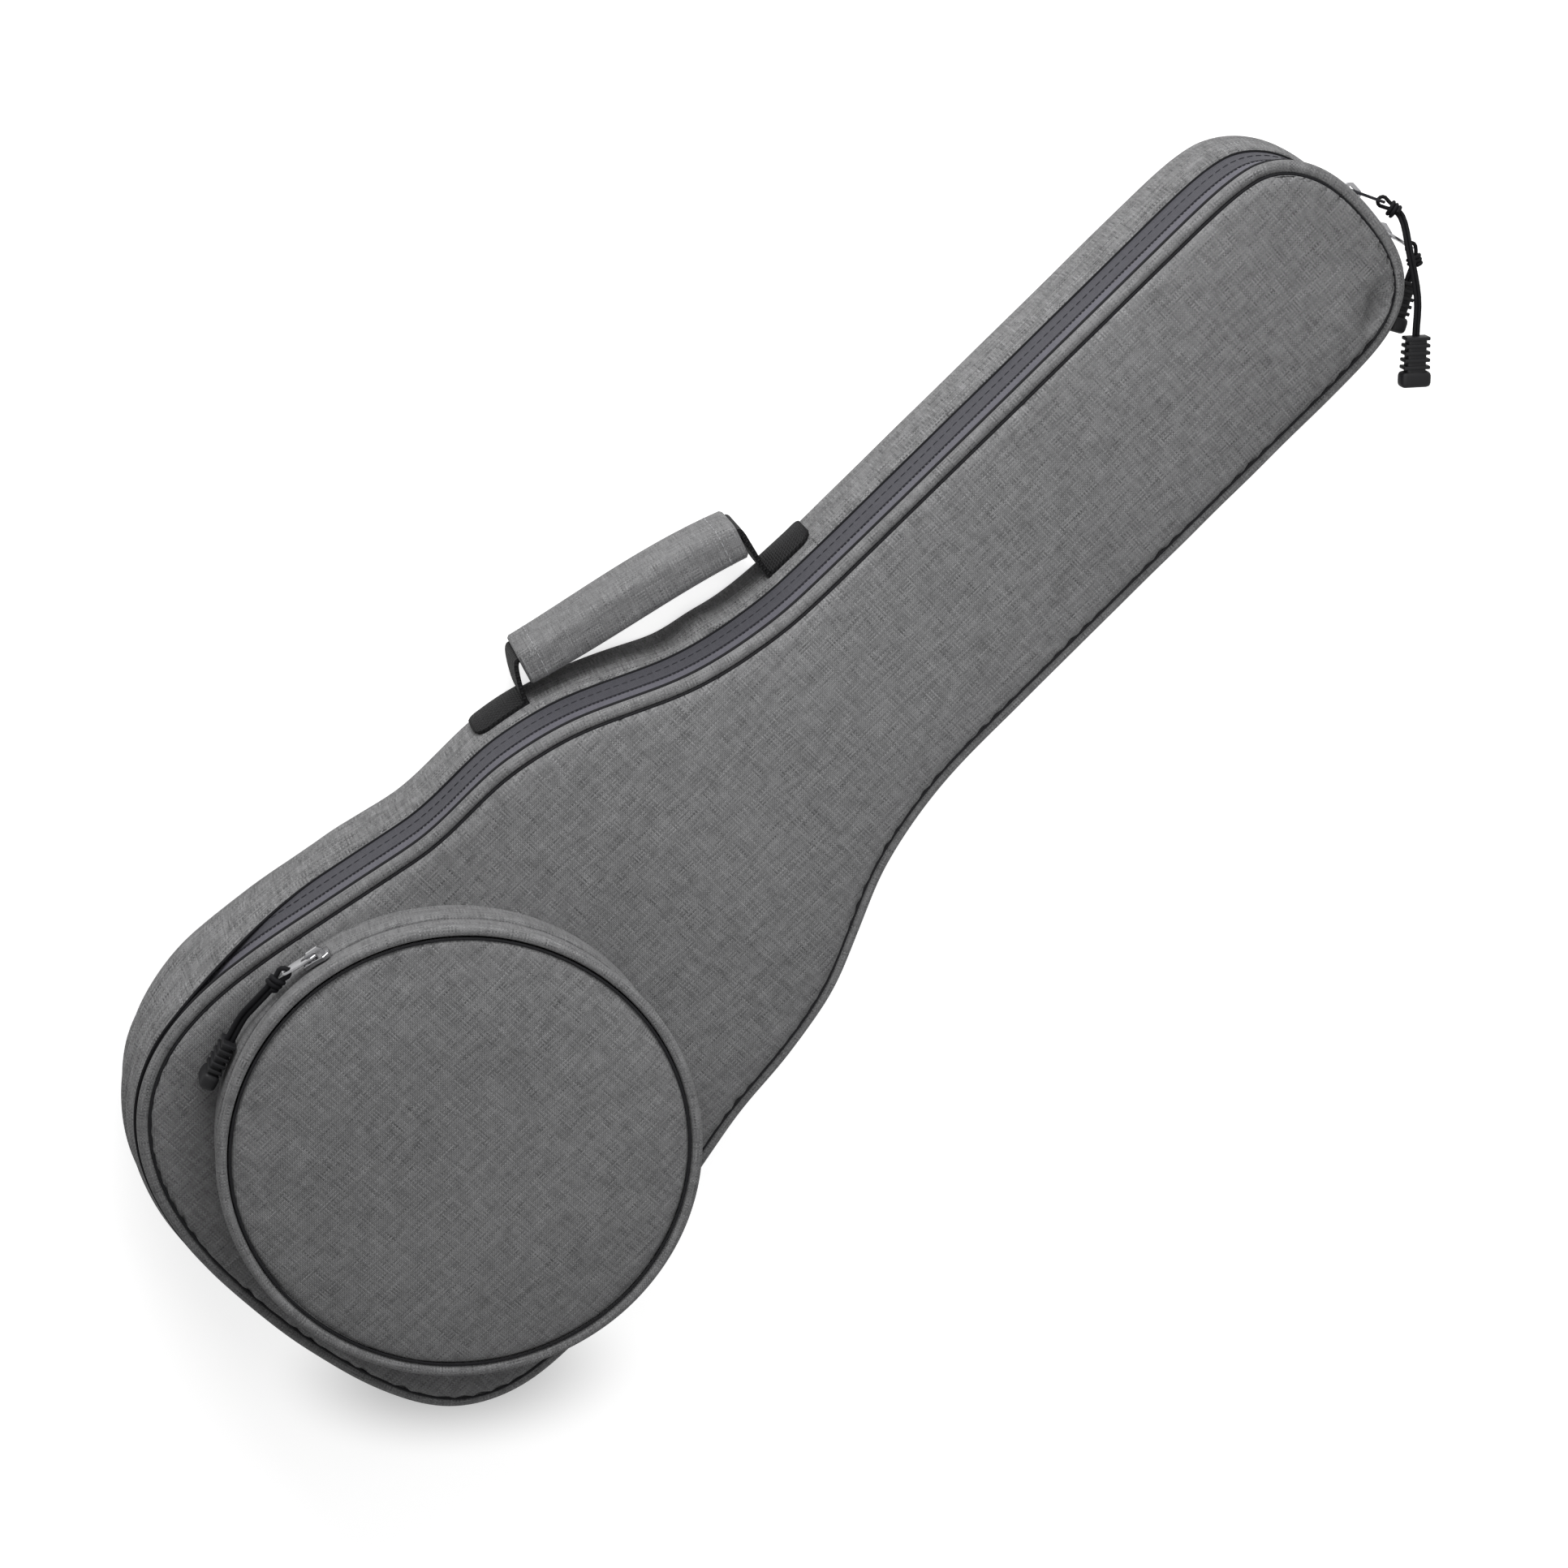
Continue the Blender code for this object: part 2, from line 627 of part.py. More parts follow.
def taper_to_fold(strap):
    # The strap narrows towards the fold line, so that it can swing clear of the wall
    tail_foot, head_foot = handle_ends()
    along = (head_foot - tail_foot).normalized()
    out = Vector((-along.y, along.x))
    for vertex in strap.data.vertices:
        lift = (vertex.co.xy - tail_foot).dot(out)
        limit = TAPER_FLOOR + max(lift, 0.0) / STRAP_TAPER
        vertex.co.z = max(-limit, min(limit, vertex.co.z))


def frame_at(origin, along, out):
    # Local axes: X along the zipper, Y out of the wall, Z up the tape
    up = Vector((0.0, 0.0, 1.0))
    return Matrix(
        (
            (along.x, out.x, up.x, origin.x),
            (along.y, out.y, up.y, origin.y),
            (along.z, out.z, up.z, origin.z),
            (0.0, 0.0, 0.0, 1.0),
        )
    )


def turned(vector, degrees):
    return Matrix.Rotation(math.radians(degrees), 3, "Z") @ vector


def place(thing, matrix, parent):
    thing.parent = parent
    thing.matrix_parent_inverse = parent.matrix_world.inverted()
    thing.matrix_world = matrix


def bevelled_plate(name, loops, thickness, bevel, material):
    # A flat stamping lying in its own XY plane, centred on its thickness
    curve = bpy.data.curves.new(name, "CURVE")
    curve.dimensions = "2D"
    curve.fill_mode = "BOTH"
    curve.extrude = thickness / 2 - bevel
    curve.bevel_depth = bevel
    curve.bevel_resolution = 0
    curve.offset = -bevel
    for loop in loops:
        spline = curve.splines.new("POLY")
        spline.points.add(len(loop) - 1)
        for point, (x, y) in zip(spline.points, loop):
            point.co = (x, y, 0.0, 1.0)
        spline.use_cyclic_u = True
    return new_object(name, curve, material, PARTS)


def slider_outline():
    # Wide at the nose, where the two halves of the coil come apart, narrow at the tail
    half_width = SLIDER_WIDTH / 2
    half_length = SLIDER_LENGTH / 2
    return [
        (-half_length, -0.6 * half_width),
        (-0.2 * half_length, -0.72 * half_width),
        (0.45 * half_length, -half_width),
        (0.9 * half_length, -0.8 * half_width),
        (half_length, 0.0),
        (0.9 * half_length, 0.8 * half_width),
        (0.45 * half_length, half_width),
        (-0.2 * half_length, 0.72 * half_width),
        (-half_length, 0.6 * half_width),
    ]


def tab_outline():
    # From the bar under the bail to the bar that holds the cord, with rounded ends
    half_bar = TAB_BAR / 2
    half_width = TAB_WIDTH / 2
    return [
        (-half_bar, -0.75 * half_width),
        (TAB_SHOULDER, -half_width),
        (0.6 * TAB_LENGTH, -half_width),
        (TAB_LENGTH - TAB_CORNER, -0.72 * half_width),
        (TAB_LENGTH + half_bar, -0.45 * half_width),
        (TAB_LENGTH + half_bar, 0.45 * half_width),
        (TAB_LENGTH - TAB_CORNER, 0.72 * half_width),
        (0.6 * TAB_LENGTH, half_width),
        (TAB_SHOULDER, half_width),
        (-half_bar, 0.75 * half_width),
    ]


def window(start, end, width):
    half = width / 2
    return [(start, -half), (end, -half), (end, half), (start, half)]


def build_slider(name, matrix, nose, parent, material):
    # Flat on the tape, its thickness along the local Y axis; nose is +1 or -1 along X
    body = bevelled_plate(name, [slider_outline()], SLIDER_THICKNESS, STAMPING_EDGE, material)
    body = as_mesh(body)
    lie = Matrix.Rotation(math.radians(90.0), 4, "X")
    flip = Matrix.Diagonal((nose, 1.0, 1.0, 1.0))
    lift = Matrix.Translation((0.0, SLIDER_THICKNESS / 2, 0.0))
    body.data.transform(lift @ lie @ flip)
    if nose < 0:
        body.data.flip_normals()
    join_bail(body)
    place(body, matrix, parent)
    return body


def join_bail(body):
    # The bail is a bent bar whose feet are sunk in the slider and united with it
    half = BAIL_SPAN / 2
    top = SLIDER_THICKNESS + BAIL_HEIGHT - BAIL_THICKNESS / 2
    foot = SLIDER_THICKNESS / 2
    line = [(-half, foot), (-half, top - BAIL_CORNER), (-half + BAIL_CORNER, top)]
    line += [(half - BAIL_CORNER, top), (half, top - BAIL_CORNER), (half, foot)]
    half_bar = BAIL_THICKNESS / 2
    shape = strap_line([Vector(point) for point in line], half_bar)
    bail = as_mesh(slab(body.name + "_bail", [shape], -half_bar, half_bar, None, None, CUTTERS))
    bail.hide_render = True
    bail.display_type = "WIRE"
    modifier = body.modifiers.new("bail", "BOOLEAN")
    modifier.operation = "UNION"
    modifier.solver = "EXACT"
    modifier.object = bail
    place(bail, Matrix.Identity(4), body)


def build_tab(name, matrix, parent, material):
    bar = TAB_BAR / 2
    bail_window = window(bar, bar + BAIL_WINDOW, BAIL_THICKNESS + WINDOW_PLAY)
    cord_window = window(TAB_LENGTH - bar - CORD_WINDOW, TAB_LENGTH - bar, CORD_DIAMETER + WINDOW_PLAY)
    shape = [tab_outline(), bail_window, cord_window]
    tab = as_mesh(bevelled_plate(name, shape, TAB_THICKNESS, STAMPING_EDGE, material))
    tab.data.transform(Matrix.Rotation(math.radians(90.0), 4, "X"))
    place(tab, matrix, parent)
    return tab


def build_cord(name, eye, route, material, parent):
    # Both legs of one cord, from the grip round the bar of the tab and back to the grip;
    # they clear the bar's corners and draw together within a short way of it
    centre = [Vector(point) for point in route]
    smooth = smooth_through([centre[0] * 2 - centre[1], *centre, centre[-1] * 2 - centre[-2]], 4)
    up = Vector((0.0, 0.0, 1.0))
    loop_radius = TAB_BAR / math.sqrt(2) + FIT + CORD_DIAMETER / 2
    first_leg = []
    second_leg = []
    total = sum((end - start).length for start, end in zip(smooth, smooth[1:]))
    close_in = min(total * 0.6, CORD_CLOSE_IN)
    done = 0.0
    for index, point in enumerate(smooth):
        before = smooth[max(index - 1, 0)]
        after = smooth[min(index + 1, len(smooth) - 1)]
        if index:
            done += (point - before).length
        along = (after - before).normalized()
        side = up.cross(along).normalized()
        share = min(done / close_in, 1.0)
        spread = loop_radius + (CORD_LEG_OFFSET - loop_radius) * share * share * (3 - 2 * share)
        first_leg.append(point + side * spread)
        second_leg.append(point - side * spread)
    start = (smooth[1] - smooth[0]).normalized()
    side = up.cross(start).normalized()
    bend = []
    for step in range(1, 6):
        angle = math.pi * step / 6
        bend.append(eye + side * loop_radius * math.cos(angle) - start * loop_radius * math.sin(angle))
    points = first_leg[::-1] + bend + second_leg
    return tube(name, points, CORD_DIAMETER / 2, material, parent, resolution=1)


def grip_profile():
    # Half widths down the rubber grip: a neck, the ribs and a wider foot
    half = GRIP_PULL_WIDTH / 2
    ribbed = GRIP_PULL_LENGTH - GRIP_FOOT_LENGTH
    pitch = ribbed / GRIP_RIBS
    points = [(0.0, 0.0), (GRIP_NECK_WIDTH / 2, 0.0)]
    for rib in range(GRIP_RIBS):
        top = rib * pitch
        points.append((GRIP_RIB_WIDTH / 2, top + 0.30 * pitch))
        points.append((GRIP_RIB_WIDTH / 2, top + 0.62 * pitch))
        points.append((GRIP_GROOVE_WIDTH / 2, top + 0.95 * pitch))
    points += [(half, ribbed + GRIP_FOOT_CORNER), (half, GRIP_PULL_LENGTH - GRIP_FOOT_CORNER)]
    points += [(GRIP_FOOT_END_WIDTH / 2, GRIP_PULL_LENGTH), (0.0, GRIP_PULL_LENGTH)]
    return points


def build_grip(name, start, direction, flat_axis, material, parent):
    # A turned profile, flattened along one axis; it hangs from the end of the cord
    mesh = bpy.data.meshes.new(name)
    work = bmesh.new()
    line = [work.verts.new((x, 0.0, -z)) for x, z in grip_profile()]
    edges = [work.edges.new(pair) for pair in zip(line, line[1:])]
    bmesh.ops.spin(
        work, geom=line + edges, cent=(0.0, 0.0, 0.0), axis=(0.0, 0.0, 1.0),
        dvec=(0.0, 0.0, 0.0), angle=2 * math.pi, steps=GRIP_SIDES,
    )
    bmesh.ops.remove_doubles(work, verts=work.verts, dist=MERGE)
    bmesh.ops.scale(work, vec=(1.0, GRIP_PULL_THICKNESS / GRIP_PULL_WIDTH, 1.0), verts=work.verts)
    bmesh.ops.recalc_face_normals(work, faces=work.faces)
    work.to_mesh(mesh)
    work.free()
    grip = new_object(name, mesh, material, PARTS)
    down = direction.normalized()
    thin = (flat_axis - down * flat_axis.dot(down)).normalized()
    wide = thin.cross(-down)
    matrix = Matrix((
        (wide.x, thin.x, -down.x, start.x),
        (wide.y, thin.y, -down.y, start.y),
        (wide.z, thin.z, -down.z, start.z),
        (0.0, 0.0, 0.0, 1.0),
    ))
    place(grip, matrix, parent)
    return grip


def build_pull(letter, seat, along, out, nose, lift, route, flat_axis, parent, tab_material):
    # One slider with its tab, doubled cord and rubber grip; along is the way the tab points
    slide_axis = axis_empty("slider_" + letter + "_axis", seat, parent)
    bpy.context.view_layer.update()
    matrix = frame_at(seat, along, out)
    build_slider("slider_" + letter, matrix, nose, slide_axis, METAL)
    pivot = seat + out * (SLIDER_THICKNESS + TAB_BAR)
    tab_axis = axis_empty("tab_" + letter + "_axis", pivot, slide_axis)
    bpy.context.view_layer.update()
    turn = lift if along.cross(out).z > 0 else -lift
    tab_way = turned(along, turn)
    tab_out = turned(out, turn)
    build_tab("tab_" + letter, frame_at(pivot, tab_way, tab_out), tab_axis, tab_material)
    eye = pivot + tab_way * TAB_LENGTH
    cord_axis = axis_empty("cord_" + letter + "_axis", eye, tab_axis)
    bpy.context.view_layer.update()
    points = [eye + Vector(step) for step in route]
    cord = build_cord("cord_" + letter, eye, [eye, *points], RUBBER, None)
    place(cord, Matrix.Identity(4), cord_axis)
    way = (points[-1] - points[-2]).normalized()
    build_grip("grip_" + letter, points[-1] + way * FIT, way, flat_axis, RUBBER, cord_axis)


def head_position(y):
    # The place on the outline where the head end passes y
    count = len(BODY)
    for index in range(count):
        start = BODY[index]
        end = BODY[(index + 1) % count]
        if start.x > 0 and end.x > 0 and (start.y - y) * (end.y - y) <= 0 and start.y != end.y:
            return index + (y - start.y) / (end.y - start.y)
    return 0.0


def head_seat(y):
    # Where a main slider lies on the coil at the head end, with the wall's own direction there
    line = body_line(COIL_INSET - SLIDER_LIFT)
    half = SLIDER_LENGTH / 2
    under = stretch(line, head_position(y - half), head_position(y + half))
    along = (under[0] - under[-1]).normalized()
    out = Vector((-along.y, along.x))
    bulge = max((point - under[0]).dot(out) for point in under)
    spot = (under[0] + under[-1]) / 2 + out * bulge
    return Vector((spot.x, spot.y, PARTING_HEIGHT)), along.to_3d(), out.to_3d()


def build_pulls(lid):
    # The two main sliders meet nose to nose at the head; their pulls hang past its -Y corner
    seat, along, out = head_seat(SLIDER_A_Y)
    build_pull("a", seat, along, out, 1, TAB_A_LIFT, CORD_A_ROUTE, GRIP_A_FLAT, None, DARK_METAL)
    seat, along, out = head_seat(SLIDER_B_Y)
    build_pull("b", seat, along, out, -1, TAB_B_LIFT, CORD_B_ROUTE, GRIP_B_FLAT, None, METAL)

    # The pocket slider stands at the closed end of its zipper; its pull lies beside the pocket
    angle = math.radians(POCKET_ZIP_HALF_ANGLE)
    coil_radius = POCKET_RADIUS - WALL_INSET - FIT + (COIL_WIDTH - TAPE_THICKNESS) / 2
    radius = coil_radius + SLIDER_LIFT
    out = Vector((math.cos(angle), math.sin(angle), 0.0))
    along = Vector((-math.sin(angle), math.cos(angle), 0.0))
    seat = Vector((POCKET_X, 0.0, PANEL_TOP + POCKET_PARTING)) + out * radius
    build_pull("pocket", seat, along, out, -1, TAB_POCKET_LIFT, CORD_POCKET_ROUTE, GRIP_POCKET_FLAT, lid, METAL)


clear_scene()
PARTS = bpy.data.collections.new("ukulele_gig_bag")
CUTTERS = bpy.data.collections.new("cutters")
bpy.context.scene.collection.children.link(PARTS)
bpy.context.scene.collection.children.link(CUTTERS)

GREY = make_material("grey_melange_cloth", (0.14, 0.14, 0.145), 0.85)
DARK_CLOTH = make_material("dark_lining", (0.03, 0.03, 0.033), 0.8)
BLACK_CLOTH = make_material("black_binding", (0.012, 0.012, 0.013), 0.8)
FOAM = make_material("white_foam", (0.7, 0.7, 0.68), 0.9)
TAPE = make_material("zipper_tape", (0.06, 0.06, 0.07), 0.8)
COIL = make_material("nylon_coil", (0.02, 0.02, 0.024), 0.4)
WEBBING = make_material("black_webbing", (0.012, 0.012, 0.012), 0.7)
METAL = make_material("nickel", (0.62, 0.62, 0.63), 0.25, 1.0)
DARK_METAL = make_material("gunmetal", (0.09, 0.09, 0.1), 0.3, 1.0)
RUBBER = make_material("black_rubber", (0.01, 0.01, 0.01), 0.55)

FOLD_Y = min(point.y for point in BODY) + WALL_INSET
LID = axis_empty("lid_axis", (FOLD_START_X + FOLD_LENGTH / 2, FOLD_Y, PARTING_HEIGHT))
FLAP_X = POCKET_X + (POCKET_RADIUS - WALL_INSET) * math.cos(math.radians(POCKET_ZIP_HALF_ANGLE))
FLAP = axis_empty("flap_axis", (FLAP_X, 0.0, PANEL_TOP + POCKET_DEPTH), LID)
TAIL_FOOT, HEAD_FOOT = handle_ends()
HANDLE_MIDDLE = (TAIL_FOOT + HEAD_FOOT) / 2
HANDLE = axis_empty("handle_axis", (HANDLE_MIDDLE.x, HANDLE_MIDDLE.y, STRAP_HEIGHT))
bpy.context.view_layer.update()

FOAM_INSET, FOAM_TOP, LINING_TOP = build_back()
WALL_INNER = build_gusset(FOAM_INSET, FOAM_TOP)
build_back_binding(WALL_INNER, LINING_TOP)
build_main_zipper(LID)
build_front(LID)
build_pocket(LID, FLAP)
build_handle(HANDLE)
build_pulls(LID)

bpy.context.view_layer.update()
print("handle swings about the line through", TAIL_FOOT, "and", HEAD_FOOT)
for empty in PARTS.objects:
    if empty.type == "EMPTY":
        print(empty.name, [round(value, 5) for value in empty.matrix_world.translation])
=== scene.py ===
# %% [markdown]
# A padded gig bag for a soprano ukulele, dressed for a studio picture.
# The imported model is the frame: it gives every place and size, and what moves. This script
# loads it, then makes the cloth, cords and finishes over it. The bag lies on its back, with
# +X from the tail to the head, +Y on the handle's side and +Z out of the front. All in metres.

# %% Load the frame
import json
import math
import random

import bmesh
import bpy
import numpy as np
from mathutils import Matrix, Vector
from mathutils.bvhtree import BVHTree


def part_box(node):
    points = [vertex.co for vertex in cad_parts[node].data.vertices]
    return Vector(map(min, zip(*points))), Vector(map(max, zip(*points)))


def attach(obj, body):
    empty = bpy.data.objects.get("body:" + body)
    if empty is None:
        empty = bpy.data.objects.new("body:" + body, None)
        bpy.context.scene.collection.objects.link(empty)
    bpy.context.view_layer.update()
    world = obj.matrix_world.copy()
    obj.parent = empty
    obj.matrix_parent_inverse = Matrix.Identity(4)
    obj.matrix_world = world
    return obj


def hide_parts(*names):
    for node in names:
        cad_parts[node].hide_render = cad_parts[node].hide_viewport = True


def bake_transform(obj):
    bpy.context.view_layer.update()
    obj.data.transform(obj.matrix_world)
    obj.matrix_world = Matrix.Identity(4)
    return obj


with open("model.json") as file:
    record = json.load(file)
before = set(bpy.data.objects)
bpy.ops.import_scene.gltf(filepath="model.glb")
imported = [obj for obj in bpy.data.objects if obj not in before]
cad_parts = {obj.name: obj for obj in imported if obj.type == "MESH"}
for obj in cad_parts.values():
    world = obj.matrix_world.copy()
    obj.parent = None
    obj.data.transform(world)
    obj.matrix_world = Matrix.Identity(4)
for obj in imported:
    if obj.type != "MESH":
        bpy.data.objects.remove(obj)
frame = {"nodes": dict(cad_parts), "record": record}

NODES = frame["nodes"]
JOINTS = {joint["name"]: joint for joint in frame["record"]["behaviour"]["joints"]}
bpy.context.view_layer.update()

# %% [markdown]
# The picture is taken from high on the handle's side, a little past the head. The lens is long,
# so that the bag keeps its proportions. Camera first, because every later look depends on it.

# %% Camera
SENSOR_WIDTH = 36.0
LENS = 78.26
CAMERA_PLACE = (0.0651, 0.4659, 1.2630)
CAMERA_TURN = (-17.734, -12.456, -43.161)

camera_data = bpy.data.cameras.new("camera")
camera_data.sensor_width = SENSOR_WIDTH
camera_data.lens = LENS
camera = bpy.data.objects.new("camera", camera_data)
bpy.context.collection.objects.link(camera)
camera.location = CAMERA_PLACE
camera.rotation_euler = [math.radians(angle) for angle in CAMERA_TURN]
bpy.context.scene.camera = camera
print("camera with a", LENS, "mm lens")

# %% [markdown]
# Every material is a small net of shader nodes. These helpers add a node and fill its inputs,
# with plain values or with what comes out of other nodes, so that a look reads as a list.

# %% Node helpers
WHITE = (1.0, 1.0, 1.0, 1.0)


def fill(tree, node, inputs):
    for socket, value in inputs.items():
        if isinstance(value, bpy.types.NodeSocket):
            tree.links.new(value, node.inputs[socket])
        else:
            node.inputs[socket].default_value = value


def add_node(tree, kind, inputs=None, **settings):
    node = tree.nodes.new("ShaderNode" + kind)
    for name, value in settings.items():
        setattr(node, name, value)
    fill(tree, node, inputs or {})
    return node


def math_node(tree, operation, *values):
    return add_node(tree, "Math", dict(enumerate(values)), operation=operation).outputs[0]


def new_finish(name):
    material = bpy.data.materials.new(name)
    material.use_nodes = True
    return material, material.node_tree, material.node_tree.nodes["Principled BSDF"]


def light_path_share(tree):
    # 1 for rays from the camera, in gloss and through glass, 0 for light that falls on things
    path = add_node(tree, "LightPath").outputs
    share = math_node(tree, "MAXIMUM", path["Is Camera Ray"], path["Is Glossy Ray"])
    return math_node(tree, "MAXIMUM", share, path["Is Transmission Ray"])


print("five node helpers")

# %% [markdown]
# A studio table: one large white floor, a big soft lamp on the side of the handle and the head,
# a small one above, and a pale sky that fills the shadows. The floor is seen a little brighter
# than the lamps make it, so that the background is white while the bag's own shadow stays, and
# that lift is weaker in an oval beside the tail: a painted shadow below the tail, through which
# the bag's own shadow there also shows.

# %% Floor, lamps and sky
FLOOR_SIZE = 8.0
FLOOR_DROP = 0.0004
FLOOR_WHITE = 0.80
FLOOR_LIFT = 0.66
# The oval where the floor's lift is weaker: a painted shadow below the tail
PAINTED_SHADOW_SPOT = (-0.281, -0.112, 0.0)
PAINTED_SHADOW_TURN = math.radians(-47.0)
PAINTED_SHADOW_SIZE = (0.082, 0.042, 1.0)
PAINTED_SHADOW_CORE = 0.15
PAINTED_SHADOW_SHARE = 0.30
SKY_STRENGTH = 0.34


def make_floor():
    bpy.ops.mesh.primitive_plane_add(size=FLOOR_SIZE, location=(0.0, 0.0, 0.0))
    floor = bpy.context.object
    floor.name = "studio_floor"
    floor.data.transform(Matrix.Translation((0.0, 0.0, -FLOOR_DROP)))
    material, tree, shader = new_finish("white_table")
    lift = math_node(tree, "MULTIPLY", light_path_share(tree), FLOOR_LIFT)
    # The lift fades in this oval, which paints a shadow on the floor below the tail
    oval = add_node(tree, "Mapping", {
        "Vector": add_node(tree, "TexCoord").outputs["Object"],
        "Location": PAINTED_SHADOW_SPOT, "Rotation": (0.0, 0.0, PAINTED_SHADOW_TURN), "Scale": PAINTED_SHADOW_SIZE,
    }, vector_type="TEXTURE")
    away = add_node(tree, "VectorMath", {0: oval.outputs["Vector"]}, operation="LENGTH")
    painted_shadow = add_node(tree, "MapRange", {
        "Value": away.outputs["Value"], "From Min": PAINTED_SHADOW_CORE, "From Max": 1.0, "To Min": PAINTED_SHADOW_SHARE,
    }, interpolation_type="SMOOTHSTEP")
    fill(tree, shader, {
        "Base Color": (FLOOR_WHITE, FLOOR_WHITE, FLOOR_WHITE, 1.0),
        "Roughness": 0.9,
        "Specular IOR Level": 0.0,
        "Emission Color": WHITE,
        "Emission Strength": math_node(tree, "MULTIPLY", lift, painted_shadow.outputs["Result"]),
    })
    floor.data.materials.append(material)


def make_sky():
    world = bpy.data.worlds.new("studio_sky")
    bpy.context.scene.world = world
    world.use_nodes = True
    tree = world.node_tree
    mix = add_node(tree, "Mix", {"Factor": light_path_share(tree), "A": SKY_STRENGTH, "B": 1.0})
    fill(tree, tree.nodes["Background"], {"Color": WHITE, "Strength": mix.outputs["Result"]})


def make_lamp(name, place, aim, size, power):
    data = bpy.data.lights.new(name, "AREA")
    data.shape = "DISK"
    data.size = size
    data.energy = power
    lamp = bpy.data.objects.new(name, data)
    bpy.context.collection.objects.link(lamp)
    lamp.location = place
    lamp.rotation_euler = (Vector(aim) - Vector(place)).to_track_quat("-Z", "Y").to_euler()


make_floor()
make_sky()
make_lamp("window_lamp", (0.66, 1.02, 0.40), aim=(0.0, 0.0, 0.03), size=1.0, power=18.4)
make_lamp("overhead_lamp", (0.07, 0.08, 0.43), aim=(0.05, 0.0, 0.0), size=0.4, power=0.96)
bpy.context.scene.view_settings.view_transform = "Standard"
print("floor, sky and", len(bpy.data.lights), "lamps")

# %% [markdown]
# Every part of the bag follows one outline, the edge of the back panel. The frame holds it as a
# many-sided loop, so it is read from there, smoothed and cut into even steps. All the cloth is
# then laid out along it, and stays true to the frame if the bag's size changes.

# %% Outline of the bag
OUTLINE_STEPS = 560
ROUNDING = 24
BACK_INSET = 0.0015
SAME_POINT = 0.00001
SAME_LEVEL = 0.00005
# The soft bag leaves the frame's even outline a little: fuller at one corner of the tail and
# along the neck on the handle's side, drawn in beside the pocket's pull
TAIL_CORNER = 0.0066
CORNER_AT, CORNER_WIDE = (-0.268, -0.089), 0.036
BOUT_DRAW = 0.0024
DRAW_AT, DRAW_WIDE = (-0.205, 0.103), 0.045
NECK_FULL = 0.0036
NECK_FROM, NECK_RISE = -0.125, 0.050
NECK_TO, NECK_FALL = 0.297, 0.026


def flat_loop(node_name):
    # The edge of the upper face of a flat solid, in order
    work = bmesh.new()
    work.from_mesh(NODES[node_name].data)
    bmesh.ops.remove_doubles(work, verts=work.verts, dist=SAME_POINT)
    top = max(vertex.co.z for vertex in work.verts) - SAME_LEVEL
    upper = {face for face in work.faces if all(vertex.co.z > top for vertex in face.verts)}
    follow = {}
    for face in upper:
        for corner in face.loops:
            if not any(other in upper for other in corner.edge.link_faces if other is not face):
                follow[corner.vert.index] = corner.link_loop_next.vert
    start = index = min(follow)
    line = []
    while not line or index != start:
        vertex = follow[index]
        line.append((vertex.co.x, vertex.co.y))
        index = vertex.index
    work.free()
    return np.array(line)


def lengths_of(line):
    # How far along a line each of its points is
    return np.r_[0.0, np.cumsum(np.linalg.norm(np.diff(line, axis=0), axis=1))]


def points_at(line, lengths, at):
    return np.column_stack([np.interp(at, lengths, line[:, axis]) for axis in range(line.shape[1])])


def even_steps(points, count, closed=True):
    # The same line with points at even distances
    line = np.vstack([points, points[:1]]) if closed else points
    lengths = lengths_of(line)
    return points_at(line, lengths, np.linspace(0.0, lengths[-1], count, endpoint=not closed))


def rounded(points, passes):
    # Evens out the corners of a closed line
    line = points
    for _ in range(passes):
        line = 0.5 * line + 0.25 * (np.roll(line, 1, axis=0) + np.roll(line, -1, axis=0))
    return line


def outward(points):
    # Unit normals of a closed anticlockwise line, pointing out
    along = np.roll(points, -1, axis=0) - np.roll(points, 1, axis=0)
    normal = np.column_stack([along[:, 1], -along[:, 0]])
    return normal / np.linalg.norm(normal, axis=1)[:, None]


def moved_out(points, distance):
    return points + outward(points) * distance


def eased(share):
    # From 0 to 1 with a soft start and a soft end
    share = np.clip(share, 0.0, 1.0)
    return share * share * (3 - 2 * share)


def bag_outline():
    line = rounded(even_steps(flat_loop("back_panel"), OUTLINE_STEPS), ROUNDING)
    line = moved_out(line, BACK_INSET)
    line = np.roll(line, -int(np.argmin(line[:, 0] + 10 * np.abs(line[:, 1]))), axis=0)
    x, y = line[:, 0], line[:, 1]

    def near(place, width):
        return np.exp(-((x - place[0]) ** 2 + (y - place[1]) ** 2) / width ** 2)

    push = TAIL_CORNER * near(CORNER_AT, CORNER_WIDE) - BOUT_DRAW * near(DRAW_AT, DRAW_WIDE)
    push += NECK_FULL * (y > 0) * eased((x - NECK_FROM) / NECK_RISE) * eased((NECK_TO - x) / NECK_FALL)
    return line + outward(line) * push[:, None]


OUTLINE = bag_outline()
OUT = outward(OUTLINE)
STEP = np.linalg.norm(OUTLINE[1] - OUTLINE[0])
print("outline of", OUTLINE_STEPS, "steps of", round(STEP * 1000, 2), "mm")

# %% [markdown]
# Cloth is made as rows of points with faces between them, like strips laid side by side. The
# same helper gives each piece a map in metres, along the strip and across it, so that the
# weave has its real scale on every piece. A piece is then dressed: it gets the body that it
# moves with, and the solids of the frame that it stands for are hidden.

# %% Strips and how they are dressed
SLOW_WAVES = 5


def pick(piece):
    # Makes a piece the one that the next operator works on
    bpy.ops.object.select_all(action="DESELECT")
    bpy.context.view_layer.objects.active = piece
    piece.select_set(True)


def new_piece(name, data, material):
    piece = bpy.data.objects.new(name, data)
    bpy.context.collection.objects.link(piece)
    data.materials.append(material)
    return piece


